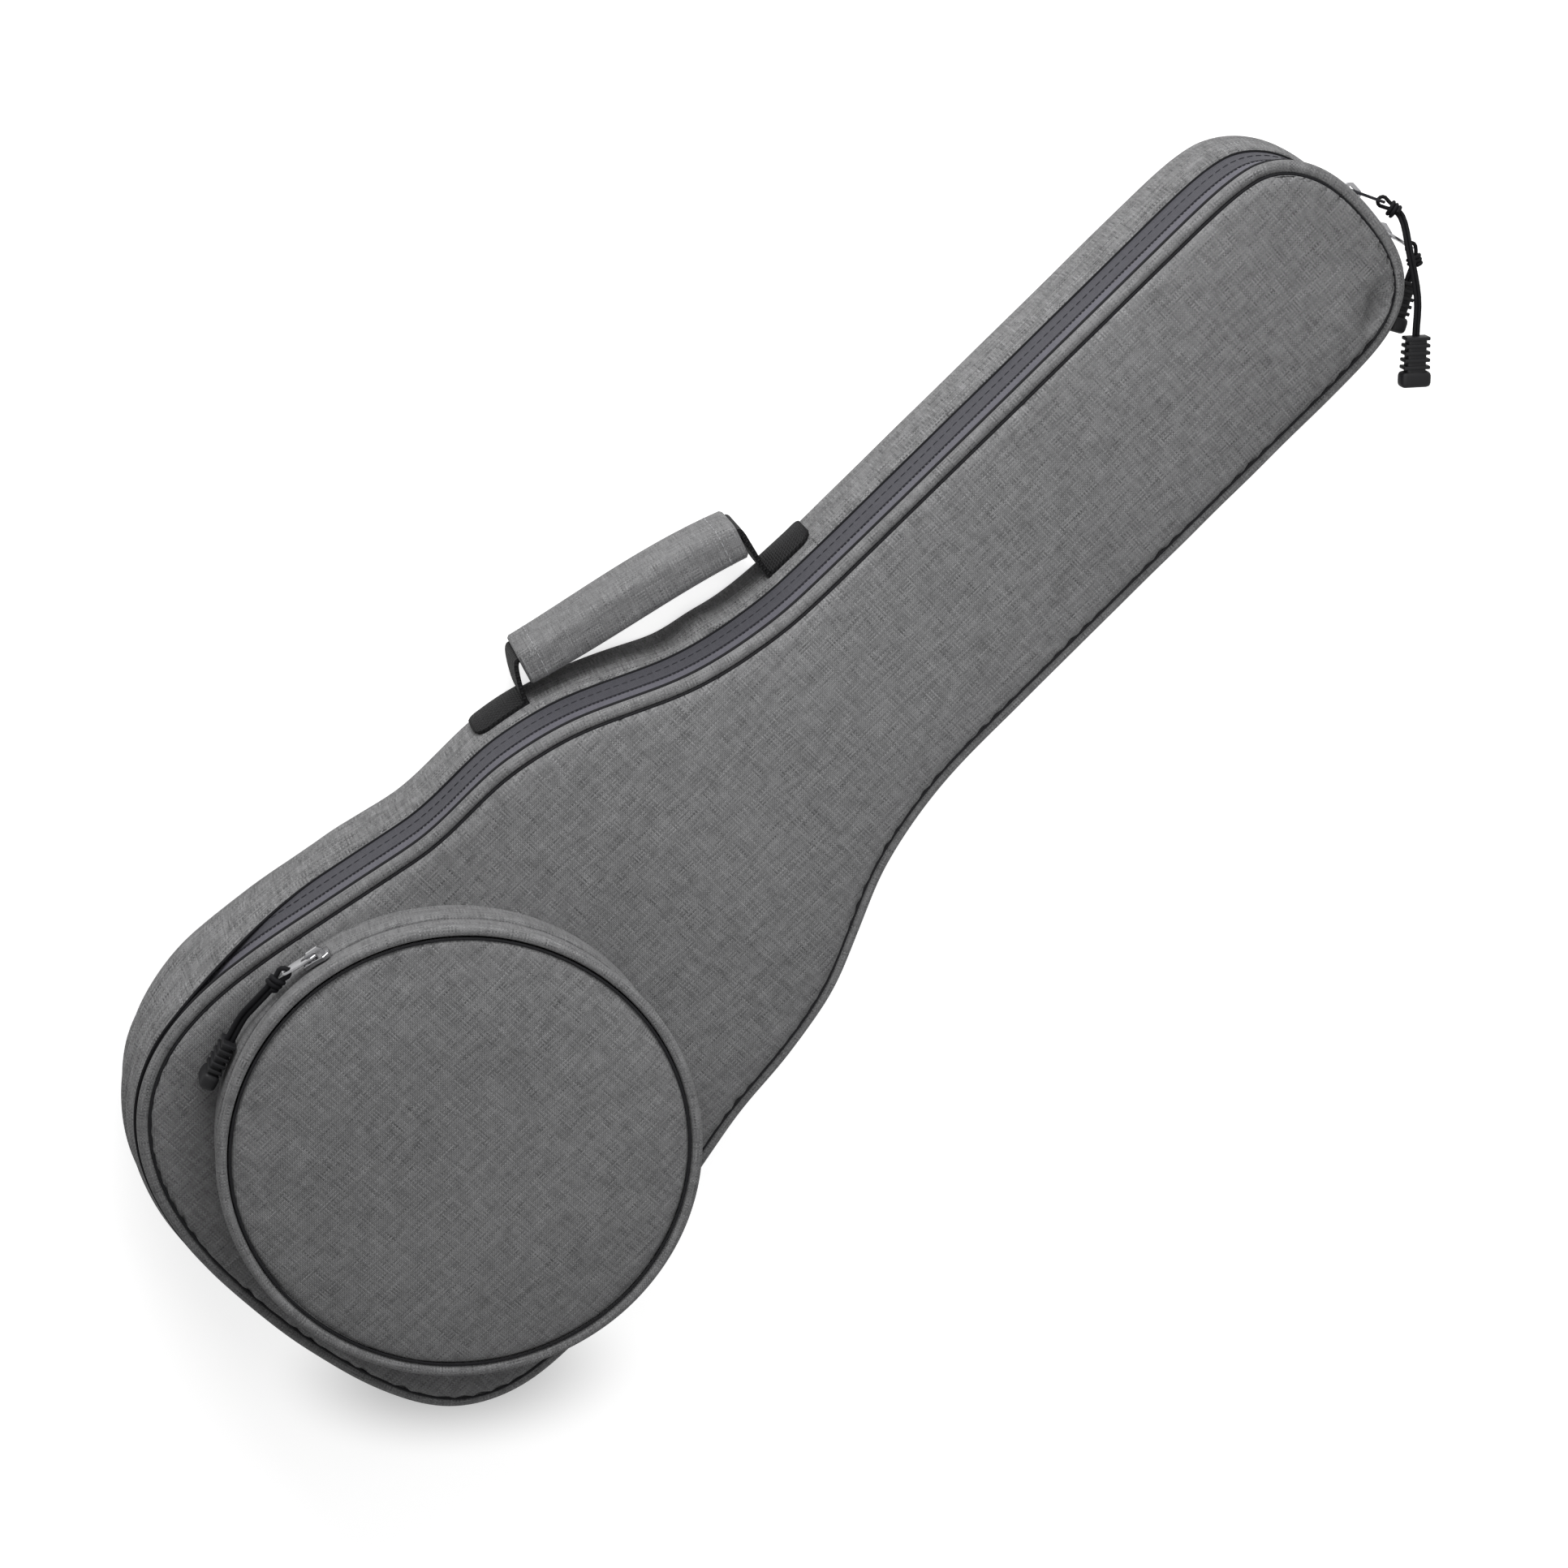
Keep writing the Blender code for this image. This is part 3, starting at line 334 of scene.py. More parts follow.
def dress(piece, body, slot, *nodes):
    # A piece that bends between two bodies gets no body here
    if body:
        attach(piece, body)
    if nodes:
        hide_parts(*nodes)
    return piece


def finish_shading(piece, angle):
    pick(piece)
    bpy.ops.object.shade_smooth_by_angle(angle=math.radians(angle))
    piece.select_set(False)


def close_ends(piece):
    work = bmesh.new()
    work.from_mesh(piece.data)
    bmesh.ops.holes_fill(work, edges=[edge for edge in work.edges if edge.is_boundary])
    bmesh.ops.recalc_face_normals(work, faces=work.faces)
    work.to_mesh(piece.data)
    work.free()


def make_strip(name, rows, material, runs_round=True, smooth=60.0):
    # Rows of points round a closed section; the strip itself runs round too, or has two ends
    grid = np.array(rows, float)
    count_rows, count = grid.shape[:2]
    middle = grid[count_rows // 2]
    along = lengths_of(np.vstack([middle, middle[:1]]) if runs_round else middle)
    wrapped = np.vstack([grid, grid[:1]])
    across = np.r_[0.0, np.cumsum(np.linalg.norm(np.diff(wrapped, axis=0), axis=2).mean(axis=1))]
    faces, corners = [], []
    for row in range(count_rows):
        here, above = row * count, (row + 1) % count_rows * count
        for step in range(count if runs_round else count - 1):
            beside = (step + 1) % count
            faces.append((here + step, here + beside, above + beside, above + step))
            corners += [(along[step], across[row]), (along[step + 1], across[row])]
            corners += [(along[step + 1], across[row + 1]), (along[step], across[row + 1])]
    mesh = bpy.data.meshes.new(name)
    mesh.from_pydata(grid.reshape(-1, 3).tolist(), [], faces)
    mesh.uv_layers.new(name="cloth_map").data.foreach_set("uv", np.array(corners, float).ravel())
    piece = new_piece(name, mesh, material)
    finish_shading(piece, smooth)
    if not runs_round:
        close_ends(piece)
    return piece


def at_edge(shift, height):
    # One row round the bag: a distance outside the outline, and a height, or one for each step
    flat = OUTLINE + OUT * np.broadcast_to(np.atleast_1d(shift), (OUTLINE_STEPS,))[:, None]
    return np.column_stack([flat, np.broadcast_to(np.atleast_1d(height), (OUTLINE_STEPS,))])


def tube_rows(row_at, radius, sides, flat=1.0):
    # Rows of a round section; row_at makes the row that lies so far out and so far up
    angles = [2 * math.pi * side / sides for side in range(sides)]
    return [row_at(radius * math.cos(angle), radius * flat * math.sin(angle)) for angle in angles]


def wander(turns, waves, widest, reach, seed):
    # A slow wander round a closed line, the same at both ends and the same each time
    ways = random.Random(seed)
    total = np.zeros(len(turns))
    for _ in range(SLOW_WAVES):
        total += np.sin(turns * round(waves * ways.uniform(0.5, widest)) + ways.uniform(0.0, 2 * math.pi))
    return reach * total / SLOW_WAVES


def wavy(size, reach, seed):
    # The wander along the outline, in waves of about one size
    turns = np.linspace(0.0, 2 * math.pi, OUTLINE_STEPS, endpoint=False)
    return wander(turns, max(2, round(OUTLINE_STEPS * STEP / size)), 1.6, reach, seed)


print("strips are laid in rows of", len(at_edge(0.0, 0.0)), "points")

# %% [markdown]
# The cloth is a heather: dark and light yarns twisted together, woven plain. One group of
# nodes draws the threads from a map in metres. Each thread has its own grey, which drifts along
# its length, and the crossing threads take turns on top.

# %% Thread group
STREAK = 0.065
THREAD_JUMP = 7.31
OTHER_THREADS = 71.3
THREAD_SOCKETS = (
    ("Map", "INPUT", "NodeSocketVector", None),
    ("Thread", "INPUT", "NodeSocketFloat", 0.0006),
    ("Slub", "INPUT", "NodeSocketFloat", 0.5),
    ("Shade", "OUTPUT", "NodeSocketFloat", None),
    ("Height", "OUTPUT", "NodeSocketFloat", None),
)


def make_thread_group():
    tree = bpy.data.node_groups.new("woven_threads", "ShaderNodeTree")
    for name, way, kind, value in THREAD_SOCKETS:
        socket = tree.interface.new_socket(name=name, in_out=way, socket_type=kind)
        if value is not None:
            socket.default_value = value
    start = tree.nodes.new("NodeGroupInput").outputs
    end = tree.nodes.new("NodeGroupOutput")
    inverse = math_node(tree, "DIVIDE", 1.0, start["Thread"])
    scaled = add_node(tree, "VectorMath", {0: start["Map"], "Scale": inverse}, operation="SCALE")
    split = add_node(tree, "SeparateXYZ", {0: scaled.outputs[0]}).outputs
    shades, heights = [], []
    for across, along, seed in ((split[0], split[1], 0.0), (split[1], split[0], OTHER_THREADS)):
        # Long streaks along the thread, with a new place in the noise for every thread
        number = math_node(tree, "FLOOR", across)
        joined = add_node(tree, "CombineXYZ", {
            0: math_node(tree, "MULTIPLY", number, THREAD_JUMP),
            1: math_node(tree, "MULTIPLY", along, STREAK),
            2: seed,
        })
        streak = add_node(tree, "TexNoise", {
            "Scale": 1.0, "Detail": 2.5, "Roughness": 0.5, "Vector": joined.outputs[0],
        })
        shades.append(streak.outputs["Fac"])
        inside = math_node(tree, "SUBTRACT", math_node(tree, "FRACT", across), 0.5)
        heights.append(math_node(tree, "COSINE", math_node(tree, "MULTIPLY", inside, math.pi)))
    turn = math_node(tree, "ADD", math_node(tree, "FLOOR", split[0]), math_node(tree, "FLOOR", split[1]))
    over = math_node(tree, "FLOORED_MODULO", turn, 2.0)
    shade, height = [
        add_node(tree, "Mix", {"Factor": over, "A": pair[0], "B": pair[1]}).outputs["Result"]
        for pair in (shades, heights)
    ]
    # The slub spreads the greys about the middle one
    spread = math_node(tree, "MULTIPLY", math_node(tree, "SUBTRACT", shade, 0.5), start["Slub"])
    fill(tree, end, {"Shade": math_node(tree, "ADD", spread, 0.5), "Height": height})
    return tree


THREADS = make_thread_group()
print("thread group with", len(THREADS.nodes), "nodes")

# %% [markdown]
# All the woven finishes come from this group, at their own thread size and colours: the grey
# heather outside, coarser on the wall, the plain black lining, the two violet-grey zipper tapes,
# one a darker copy with painted shade, and the ribbed webbing. Broad, faint patches keep a large
# panel from looking printed.
# Moulded and metal finishes are plainer: a faint cloud of colour, and a fine grain on rubber.

# %% Finishes
PATCH_SCALE = 9.0
CLOUD_SCALE = 160.0
GRAIN_SCALE = 900.0
GRAIN_DEPTH = 0.0002
THREAD_RELIEF = 0.35


def colour_between(tree, factor, dark, light):
    colours = {"Factor": factor, "A": (*dark, 1.0), "B": (*light, 1.0)}
    return add_node(tree, "Mix", colours, data_type="RGBA").outputs["Result"]


def bumped(tree, height, strength, distance):
    relief = add_node(tree, "Bump", {"Height": height, "Strength": strength, "Distance": distance})
    return relief.outputs["Normal"]


def woven(name, dark, light, thread, slub, bump, roughness, sheen, patches=0.12, shine=0.25):
    material, tree, shader = new_finish(name)
    weave = add_node(tree, "Group", {
        "Thread": thread, "Slub": slub, "Map": add_node(tree, "UVMap", uv_map="cloth_map").outputs[0],
    }, node_tree=THREADS).outputs
    patch = add_node(tree, "TexNoise", {
        "Scale": PATCH_SCALE, "Detail": 2.0, "Vector": add_node(tree, "TexCoord").outputs["Object"],
    })
    drift = math_node(tree, "MULTIPLY", math_node(tree, "SUBTRACT", patch.outputs["Fac"], 0.5), patches)
    shade = add_node(tree, "MapRange", {
        "Value": math_node(tree, "ADD", weave["Shade"], drift), "From Min": 0.25, "From Max": 0.75,
    })
    fill(tree, shader, {
        "Base Color": colour_between(tree, shade.outputs["Result"], dark, light),
        "Normal": bumped(tree, weave["Height"], bump, thread * THREAD_RELIEF),
        "Roughness": roughness,
        "Specular IOR Level": shine,
        "Sheen Weight": sheen,
        "Sheen Roughness": 0.4,
    })
    return material


def plain(name, colour, roughness, metallic=0.0, grain=0.0, shade=0.3, shine=0.5):
    material, tree, shader = new_finish(name)
    place = add_node(tree, "TexCoord").outputs["Object"]
    clouds = {"Scale": CLOUD_SCALE, "Detail": 4.0, "Vector": place}
    cloud = add_node(tree, "TexNoise", clouds).outputs["Fac"]
    dark = [value * (1 - shade) for value in colour]
    light = [min(value * (1 + shade), 1.0) for value in colour]
    gloss = add_node(tree, "MapRange", {
        "Value": cloud, "To Min": max(roughness - 0.1, 0.05), "To Max": min(roughness + 0.1, 1.0),
    })
    fill(tree, shader, {
        "Base Color": colour_between(tree, cloud, dark, light),
        "Roughness": gloss.outputs["Result"],
        "Metallic": metallic,
        "Specular IOR Level": shine,
    })
    if grain:
        fine = add_node(tree, "TexNoise", {"Scale": GRAIN_SCALE, "Vector": place}).outputs["Fac"]
        fill(tree, shader, {"Normal": bumped(tree, fine, grain, GRAIN_DEPTH)})
    return material


# Dark and light yarn, then thread, slub, bump, roughness and sheen
YARNS = ((0.046, 0.046, 0.047), (0.246, 0.246, 0.249))
HEATHER = woven("grey_heather", *YARNS, 0.0006, 0.85, 0.55, 0.9, 0.08)
WALL_HEATHER = woven("bold_grey_heather", *YARNS, 0.0007, 1.25, 0.55, 0.9, 0.08)
LINING = woven("black_lining", (0.012, 0.012, 0.014), (0.030, 0.030, 0.034), 0.0003, 0.5, 0.3, 0.7, 0.05)
TAPE_CLOTH = woven(
    "violet_grey_tape", (0.056, 0.055, 0.066), (0.118, 0.115, 0.138), 0.0005, 0.6, 0.5, 0.75, 0.05,
)
# The same violet-grey tape in a darker copy: painted shade, for the tub's tape below the coil and the
# pocket's tapes in their slit
TAPE_PAINTED_SHADE = woven(
    "violet_tape_painted_shade", (0.027, 0.027, 0.033), (0.060, 0.059, 0.070), 0.0005, 0.6, 0.5, 0.75, 0.05,
)
# Black binding inside the bag, also laid in the seam grooves outside as painted shade
BINDING_AND_SEAM_SHADE = woven(
    "black_binding", (0.008, 0.008, 0.009), (0.022, 0.022, 0.024), 0.0005, 0.5, 0.6, 0.75, 0.0,
    shine=0.08,
)
WEBBING = woven(
    "black_webbing", (0.005, 0.005, 0.005), (0.017, 0.017, 0.018), 0.0011, 0.4, 0.9, 0.65, 0.0,
    shine=0.08,
)
NYLON = plain("nylon_coil", (0.022, 0.022, 0.028), 0.38)
NICKEL = plain("nickel_plate", (0.36, 0.36, 0.37), 0.24, metallic=1.0, shade=0.06)
GUNMETAL = plain("dark_plate", (0.030, 0.030, 0.034), 0.34, metallic=1.0, shade=0.1)
RUBBER = plain("black_rubber", (0.008, 0.008, 0.009), 0.55, grain=0.25, shine=0.22)
CORD_FINISH = plain("black_cord", (0.006, 0.006, 0.007), 0.7, shine=0.12)
DARK_THREAD = plain("dark_thread", (0.030, 0.030, 0.035), 0.7, shine=0.1)
PALE_THREAD = plain("pale_thread", (0.30, 0.30, 0.31), 0.7, shine=0.1)
print("seven woven and seven plain finishes")

# %% [markdown]
# A panel is a net of points laid between four corners of the outline, which keeps the squares
# even from the wide tail to the narrow neck. The cloth is pinned along its seam and blown up a
# little by the simulation, as foam lifts it.

# %% Nets and padding
ACROSS = 52
ALONG = 156
PAD_STITCH_DEPTH = 0.0014
SIM_FRAMES = 20


def corner_steps():
    # Where the outline turns from the tail into the flank, and from the flank into the head
    lean = np.abs(OUT[:, 1]) - np.abs(OUT[:, 0])
    quarter = OUTLINE_STEPS // 4
    tail = int(np.argmax(lean[:quarter] > 0))
    head = 2 * quarter - 1 - int(np.argmax(lean[quarter:2 * quarter][::-1] > 0))
    return tail, head


def laid_net(loop, corners, across, along):
    # Rows of points from tail to head, each from the -Y side to the +Y side
    first, second = corners
    tail = even_steps(loop[np.arange(first, -first - 1, -1)], across, closed=False)
    head = even_steps(loop[np.arange(second, len(loop) - second + 1)], across, closed=False)
    low = even_steps(loop[np.arange(first, second + 1)], along, closed=False)
    high = even_steps(loop[np.arange(-first, -second - 1, -1)], along, closed=False)
    s = np.linspace(0.0, 1.0, across)[None, :, None]
    t = np.linspace(0.0, 1.0, along)[:, None, None]
    net = (1 - t) * tail[None] + t * head[None] + (1 - s) * low[:, None] + s * high[:, None]
    net -= (1 - t) * ((1 - s) * low[0] + s * high[0]) + t * ((1 - s) * low[-1] + s * high[-1])
    return net


def depth_inside(net, loop):
    # The distance of every point of a net from the nearest point of a line
    parts = np.array_split(net.reshape(-1, 1, 2), 40)
    nearest = [np.sqrt(((part - loop[None]) ** 2).sum(2)).min(1) for part in parts]
    return np.concatenate(nearest).reshape(net.shape[:2])


def bag_net(shift):
    # The net of a panel whose edge lies so far outside the outline, and its points' depths
    loop = moved_out(OUTLINE, shift)
    net = laid_net(loop, CORNERS, ACROSS, ALONG)
    return net, depth_inside(net, loop)


def net_faces(rows, columns):
    starts = [row * columns + column for row in range(rows - 1) for column in range(columns - 1)]
    return [(here, here + columns, here + columns + 1, here + 1) for here in starts]


def rim_of(rows, columns):
    # The border points of a net in order, anticlockwise seen from above
    low = [row * columns for row in range(rows)]
    head = [(rows - 1) * columns + column for column in range(1, columns)]
    high = [row * columns + columns - 1 for row in range(rows - 2, -1, -1)]
    return low + head + high + list(range(columns - 2, 0, -1))


def make_skin(name, top, bottom, material):
    # A closed cushion from an upper and a lower net, joined round their border. Its map is its
    # own plan, in metres
    rows, columns = top.shape[:2]
    count = rows * columns
    faces = net_faces(rows, columns)
    faces += [tuple(count + index for index in reversed(face)) for face in faces]
    rim = rim_of(rows, columns)
    faces += [(end, start, start + count, end + count) for start, end in zip(rim, rim[1:] + rim[:1])]
    mesh = bpy.data.meshes.new(name)
    mesh.from_pydata(np.vstack([top.reshape(-1, 3), bottom.reshape(-1, 3)]).tolist(), [], faces)
    layer = mesh.uv_layers.new(name="cloth_map")
    for loop in mesh.loops:
        layer.data[loop.index].uv = mesh.vertices[loop.vertex_index].co.xy
    piece = new_piece(name, mesh, material)
    finish_shading(piece, 70.0)
    return piece


def swollen(net, sewn, pressure, most):
    # The net blown up like padded cloth, held where it is sewn and nowhere lifted further than most
    mesh = bpy.data.meshes.new("swelling")
    mesh.from_pydata(net.reshape(-1, 3).tolist(), [], net_faces(*net.shape[:2]))
    sheet = bpy.data.objects.new("swelling", mesh)
    bpy.context.collection.objects.link(sheet)
    group = sheet.vertex_groups.new(name="sewn")
    group.add(np.flatnonzero(sewn.ravel()).tolist(), 1.0, "REPLACE")
    cloth = sheet.modifiers.new("cloth", "CLOTH")
    cloth.settings.vertex_group_mass = "sewn"
    cloth.settings.use_pressure = True
    cloth.settings.uniform_pressure_force = pressure
    cloth.settings.effector_weights.gravity = 0.0
    cloth.settings.quality = 5
    cloth.point_cache.frame_end = SIM_FRAMES
    for step in range(1, SIM_FRAMES + 1):
        bpy.context.scene.frame_set(step)
    shaped = sheet.evaluated_get(bpy.context.evaluated_depsgraph_get())
    move = np.array([vertex.co for vertex in shaped.data.vertices]).reshape(net.shape) - net
    bpy.data.objects.remove(sheet)
    bpy.context.scene.frame_set(1)
    length = np.linalg.norm(move, axis=2, keepdims=True)
    return net + move * np.minimum(1.0, most / np.maximum(length, 1e-9))


def raised(net, height):
    return np.dstack([net, np.broadcast_to(height, net.shape[:2])])


def rolled_edge(depth, low, high, width):
    # The height of a panel that rolls up from its seam to its full thickness
    share = np.clip(depth / width, 0.0, 1.0)
    return low + (high - low) * np.sqrt(np.maximum(1 - (1 - share) ** 2, 0.0))


def soft_noise(points, size, seed):
    # Smooth unevenness from -1 to 1, the same each time
    ways = random.Random(seed)
    total = np.zeros(points.shape[:-1])
    for _ in range(7):
        angle = ways.uniform(0.0, 2 * math.pi)
        phase = ways.uniform(0.0, 2 * math.pi)
        pitch = 2 * math.pi / (size * ways.uniform(0.6, 1.7))
        across = points[..., 0] * math.cos(angle) + points[..., 1] * math.sin(angle)
        total += np.sin(across * pitch + phase)
    return total / 7


def hollow(net, x, y, long, wide, turn=0.0):
    # 1 in the middle of an oval, fading to 0 at its edge
    dx = net[..., 0] - x
    dy = net[..., 1] - y
    along = dx * math.cos(turn) + dy * math.sin(turn)
    across = -dx * math.sin(turn) + dy * math.cos(turn)
    reach = np.sqrt((along / long) ** 2 + (across / wide) ** 2)
    return np.where(reach < 1.0, (1 - np.minimum(reach, 1.0) ** 2) ** 2, 0.0)


CORNERS = corner_steps()
print("corners of the nets at steps", CORNERS)

# %% [markdown]
# The front is a padded panel: cloth over foam, sewn down into the groove inside the piping.
# It is swollen first, and what must be pressed in is pressed in last.

# %% Front cushion
PIPING_RADIUS = 0.0024
PIPING_LEVEL = 0.0685
PANEL_SHIFT = -0.0053
PANEL_GROOVE = 0.0702
PANEL_SHOULDER = 0.0042
PANEL_LEVEL = 0.0738
CROWN_REACH = 0.022
PANEL_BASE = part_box("front_padding")[0].z + 0.0001
THINNEST = 0.0012
UNEVEN = 0.00045
SEAM_FREE = 0.0030
DIMPLE_DEEP = 0.0080
HEAD_DIMPLE = (0.2712, -0.0335, 0.0180, 0.0088, 1.05)
# How high, and the ovals: a swell beside the dimple, under the pull, at the pocket's foot
PRESSES = (
    (0.0010, (0.2610, -0.0200, 0.020, 0.009, 0.80)),
    (-0.0016, (-0.262, 0.070, 0.060, 0.030, 0.9)),
    (-0.0015, (-0.090, -0.020, 0.050, 0.050)),
)


def make_front_cushion():
    net, depth = bag_net(PANEL_SHIFT)
    top = raised(net, rolled_edge(depth, PANEL_GROOVE, PANEL_LEVEL, PANEL_SHOULDER))
    crown = 1 - np.exp(-depth / CROWN_REACH)
    top[..., 2] += 0.0
    top = swollen(top, depth < PAD_STITCH_DEPTH, pressure=4.0, most=0.0030)
    top[..., 2] += UNEVEN * crown * soft_noise(net, size=0.07, seed=3)
    free = 1 - np.exp(-((depth / SEAM_FREE) ** 2))
    top[..., 2] -= DIMPLE_DEEP * free * hollow(net, *HEAD_DIMPLE)
    for height, oval in PRESSES:
        top[..., 2] += height * hollow(net, *oval)
    top[..., 2] = np.maximum(top[..., 2], PANEL_BASE + THINNEST)
    cushion = make_skin("front_cushion", top, raised(net, PANEL_BASE), HEATHER)
    dress(cushion, "lid", "grey_cloth", "front_panel", "front_padding")
    return float(top[..., 2].max())


print("front cushion up to", round(make_front_cushion() * 1000, 1), "mm")

# %% [markdown]
# Piping is a strip of the same heather folded round a thin cord and caught in the seam. It is a
# round tube all round the front edge, and what one sees of the seam is the dark groove beside it,
# with a black strip of painted shade laid along the groove.

# %% Front piping and inside binding
PIPING_SIDES = 14
PIPING_LIFT = 0.00022
SEAM_HALF = 0.00055
SEAM_FLAT = 0.6
SEAM_LEVEL = 0.0708
SEAM_IN = 0.0004
# Away from the camera the seam stands a little further out and higher
FAR_WAY = np.array((0.52, 0.85))
FAR_OUT = 0.0002
FAR_UP = 0.0013


def make_piping():
    lift = wavy(size=0.05, reach=PIPING_LIFT, seed=5)
    rows = tube_rows(
        lambda out, up: at_edge(out - PIPING_RADIUS + 0.3 * lift, PIPING_LEVEL + up + lift),
        PIPING_RADIUS, PIPING_SIDES,
    )
    dress(make_strip("front_edge_piping", rows, HEATHER), "lid", "grey_cloth", "front_piping")


def make_seam_shade(name, row_at, body):
    # A dark strip at the bottom of the groove beside the piping: painted shade of the seam's groove
    seam = make_strip(name, tube_rows(row_at, SEAM_HALF, 8, SEAM_FLAT), BINDING_AND_SEAM_SHADE)
    return dress(seam, body, "black_binding")


def front_seam_shade_row(out, up):
    far = np.clip(-OUT @ FAR_WAY, 0.0, 1.0)
    return at_edge(PANEL_SHIFT + SEAM_IN + FAR_OUT * far + out, SEAM_LEVEL + up + FAR_UP * far)


def make_binding(name, node, body):
    low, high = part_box(node)
    radius = (high.z - low.z) / 2
    shift = (high.y - OUTLINE[:, 1].max()) - radius
    rows = tube_rows(lambda out, up: at_edge(shift + out, low.z + radius + up), radius, 10)
    dress(make_strip(name, rows, BINDING_AND_SEAM_SHADE), body, "black_binding", node)


make_piping()
# A black strip in the groove inside the front piping: painted shade
make_seam_shade("front_seam_shade", front_seam_shade_row, "lid")
make_binding("inside_binding_front", "front_binding", "lid")
make_binding("inside_binding_back", "back_binding", "back_shell")
print("piping of", PIPING_SIDES, "sides")

# %% [markdown]
# The tub's wall is a padded strip that stands on the back panel. It bulges a little between its
# two seams, and it is slack: at the waist, under the handle, it falls in and creases. The strip is
# drawn as a closed section whose outer side moves in and out along the bag. Round the tail the
# cloth runs on up over the closed zipper as a thin flap.

# %% Wall cushion
WALL_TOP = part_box("gusset_fabric")[1].z - 0.0020
WALL_FOOT = 0.0003
WALL_FACE = -0.0004
WALL_INNER = -0.0080
WALL_BULGE = 0.0030
WALL_LEVELS = 29
WALL_EDGE = 0.0007
WAIST_SAG = 0.0006
WAIST_BUMP = 0.0018
TAIL_FOLDS = 0.0013
TAIL_FROM, TAIL_REACH = -0.190, 0.060
FLAP_RISE = 0.0290
FLAP_OUT = 0.0013
FLAP_CLOTH = 0.0009
FLAP_NEAR_SIDE = (-0.160, 0.072)
FLAP_FAR_SIDE = (-0.249, 0.012)
REAR_SEAM = 0.0042
REAR_SEAM_HALF = 0.0011
REAR_SEAM_DEEP = 0.0011
LINING_FOOT = 0.0072
LINING_GAP = 0.0011
LINING_LEVELS = 12


def along_side(x, width, side):
    # 1 where the outline passes x on one side, fading out over a width
    near = np.exp(-(((OUTLINE[:, 0] - x) / width) ** 2))
    return near * (OUTLINE[:, 1] * side > 0)


def flap_share(start, width):
    return eased((start - OUTLINE[:, 0]) / width)


FLAP = np.where(OUTLINE[:, 1] > 0, flap_share(*FLAP_NEAR_SIDE), flap_share(*FLAP_FAR_SIDE))
TOP_LINE = WALL_TOP + FLAP_RISE * FLAP


def wall_shift(height):
    share = np.clip((height - WALL_FOOT) / (TOP_LINE - WALL_FOOT), 0.0, 1.0)
    arch = np.sin(math.pi * share) ** 0.8
    uneven = wavy(size=0.16, reach=0.35, seed=11)
    uneven += wavy(size=0.05, reach=0.35, seed=13) * np.cos(2.2 * share)
    swell = WALL_BULGE * arch * (1 + uneven)
    sag = WAIST_SAG * arch * (along_side(-0.052, 0.042, 1) + 0.5 * along_side(-0.060, 0.05, -1))
    bump = WAIST_BUMP * arch * (along_side(0.008, 0.008, 1) - along_side(-0.008, 0.009, 1))
    at_tail = np.clip((TAIL_FROM - OUTLINE[:, 0]) / TAIL_REACH, 0.0, 1.0)
    folds = at_tail * TAIL_FOLDS * np.sin(7.5 * math.pi * share + 0.6) * arch
    pinch = np.exp(-(((height - REAR_SEAM) / REAR_SEAM_HALF) ** 2))
    seam = REAR_SEAM_DEEP * (0.35 + 0.65 * at_tail) * pinch
    return WALL_FACE + FLAP_OUT * FLAP * share + swell - sag + bump + folds - seam


def make_wall():
    rows = [at_edge(-0.0062, WALL_FOOT), at_edge(-0.0036, WALL_FOOT + 0.0002)]
    for level in range(WALL_LEVELS):
        height = WALL_FOOT + 0.0012 + (TOP_LINE - WALL_FOOT - 0.0022) * (level / (WALL_LEVELS - 1))
        at_rim = level in (0, WALL_LEVELS - 1)
        rows.append(at_edge(wall_shift(height) - (WALL_EDGE if at_rim else 0.0), height))
    behind = WALL_FACE + FLAP_OUT * FLAP - FLAP_CLOTH
    for shift, height in (
        (behind, TOP_LINE - 0.0003),
        (behind - 0.0003, WALL_TOP - 0.0002),
        (WALL_INNER + 0.0010, WALL_TOP - 0.0002),
        (WALL_INNER, WALL_TOP - 0.0012),
        (WALL_INNER, 0.0070),
    ):
        rows.append(at_edge(shift, height))
    wall = make_strip("wall_cushion", rows, WALL_HEATHER)
    dress(wall, "back_shell", "grey_cloth", "gusset_fabric", "gusset_padding")


def make_wall_lining():
    outer = WALL_INNER - 0.0003
    tall = WALL_TOP - 0.0006 - LINING_FOOT
    rows = [at_edge(outer, LINING_FOOT), at_edge(outer, LINING_FOOT + tall)]
    for share in np.linspace(1.0, 0.0, LINING_LEVELS):
        loose = 0.0007 * math.sin(math.pi * share) * (1 + wavy(size=0.08, reach=0.6, seed=17))
        rows.append(at_edge(WALL_INNER - LINING_GAP - loose, LINING_FOOT + tall * share))
    lining = make_strip("wall_lining_cloth", rows, LINING)
    dress(lining, "back_shell", "dark_lining", "gusset_lining")


def wall_seam_shade_row(out, up):
    return at_edge(WALL_FACE + FLAP_OUT * FLAP - 0.0005 + out, TOP_LINE + 0.0002 + up)


make_wall()
make_wall_lining()
# A black strip along the wall's top seam: painted shade
make_seam_shade("wall_seam_shade", wall_seam_shade_row, "back_shell")
print("wall up to", round(WALL_TOP * 1000, 1), "mm")

# %% [markdown]
# The back panel is like the front, but it carries the bag, so its outer face stays flat on the
# table and only its edge rolls up into the seam. The two linings are plain thin cloths over the
# foam; when the lid is open they are what one sees.

# %% Back cushion and linings
BACK_SHIFT = -0.0034
BACK_GROOVE = 0.0016
BACK_ROLL = 0.005
BACK_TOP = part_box("back_padding")[1].z
LINING_LOOSE = 0.0004
LINING_SEWN = 0.002


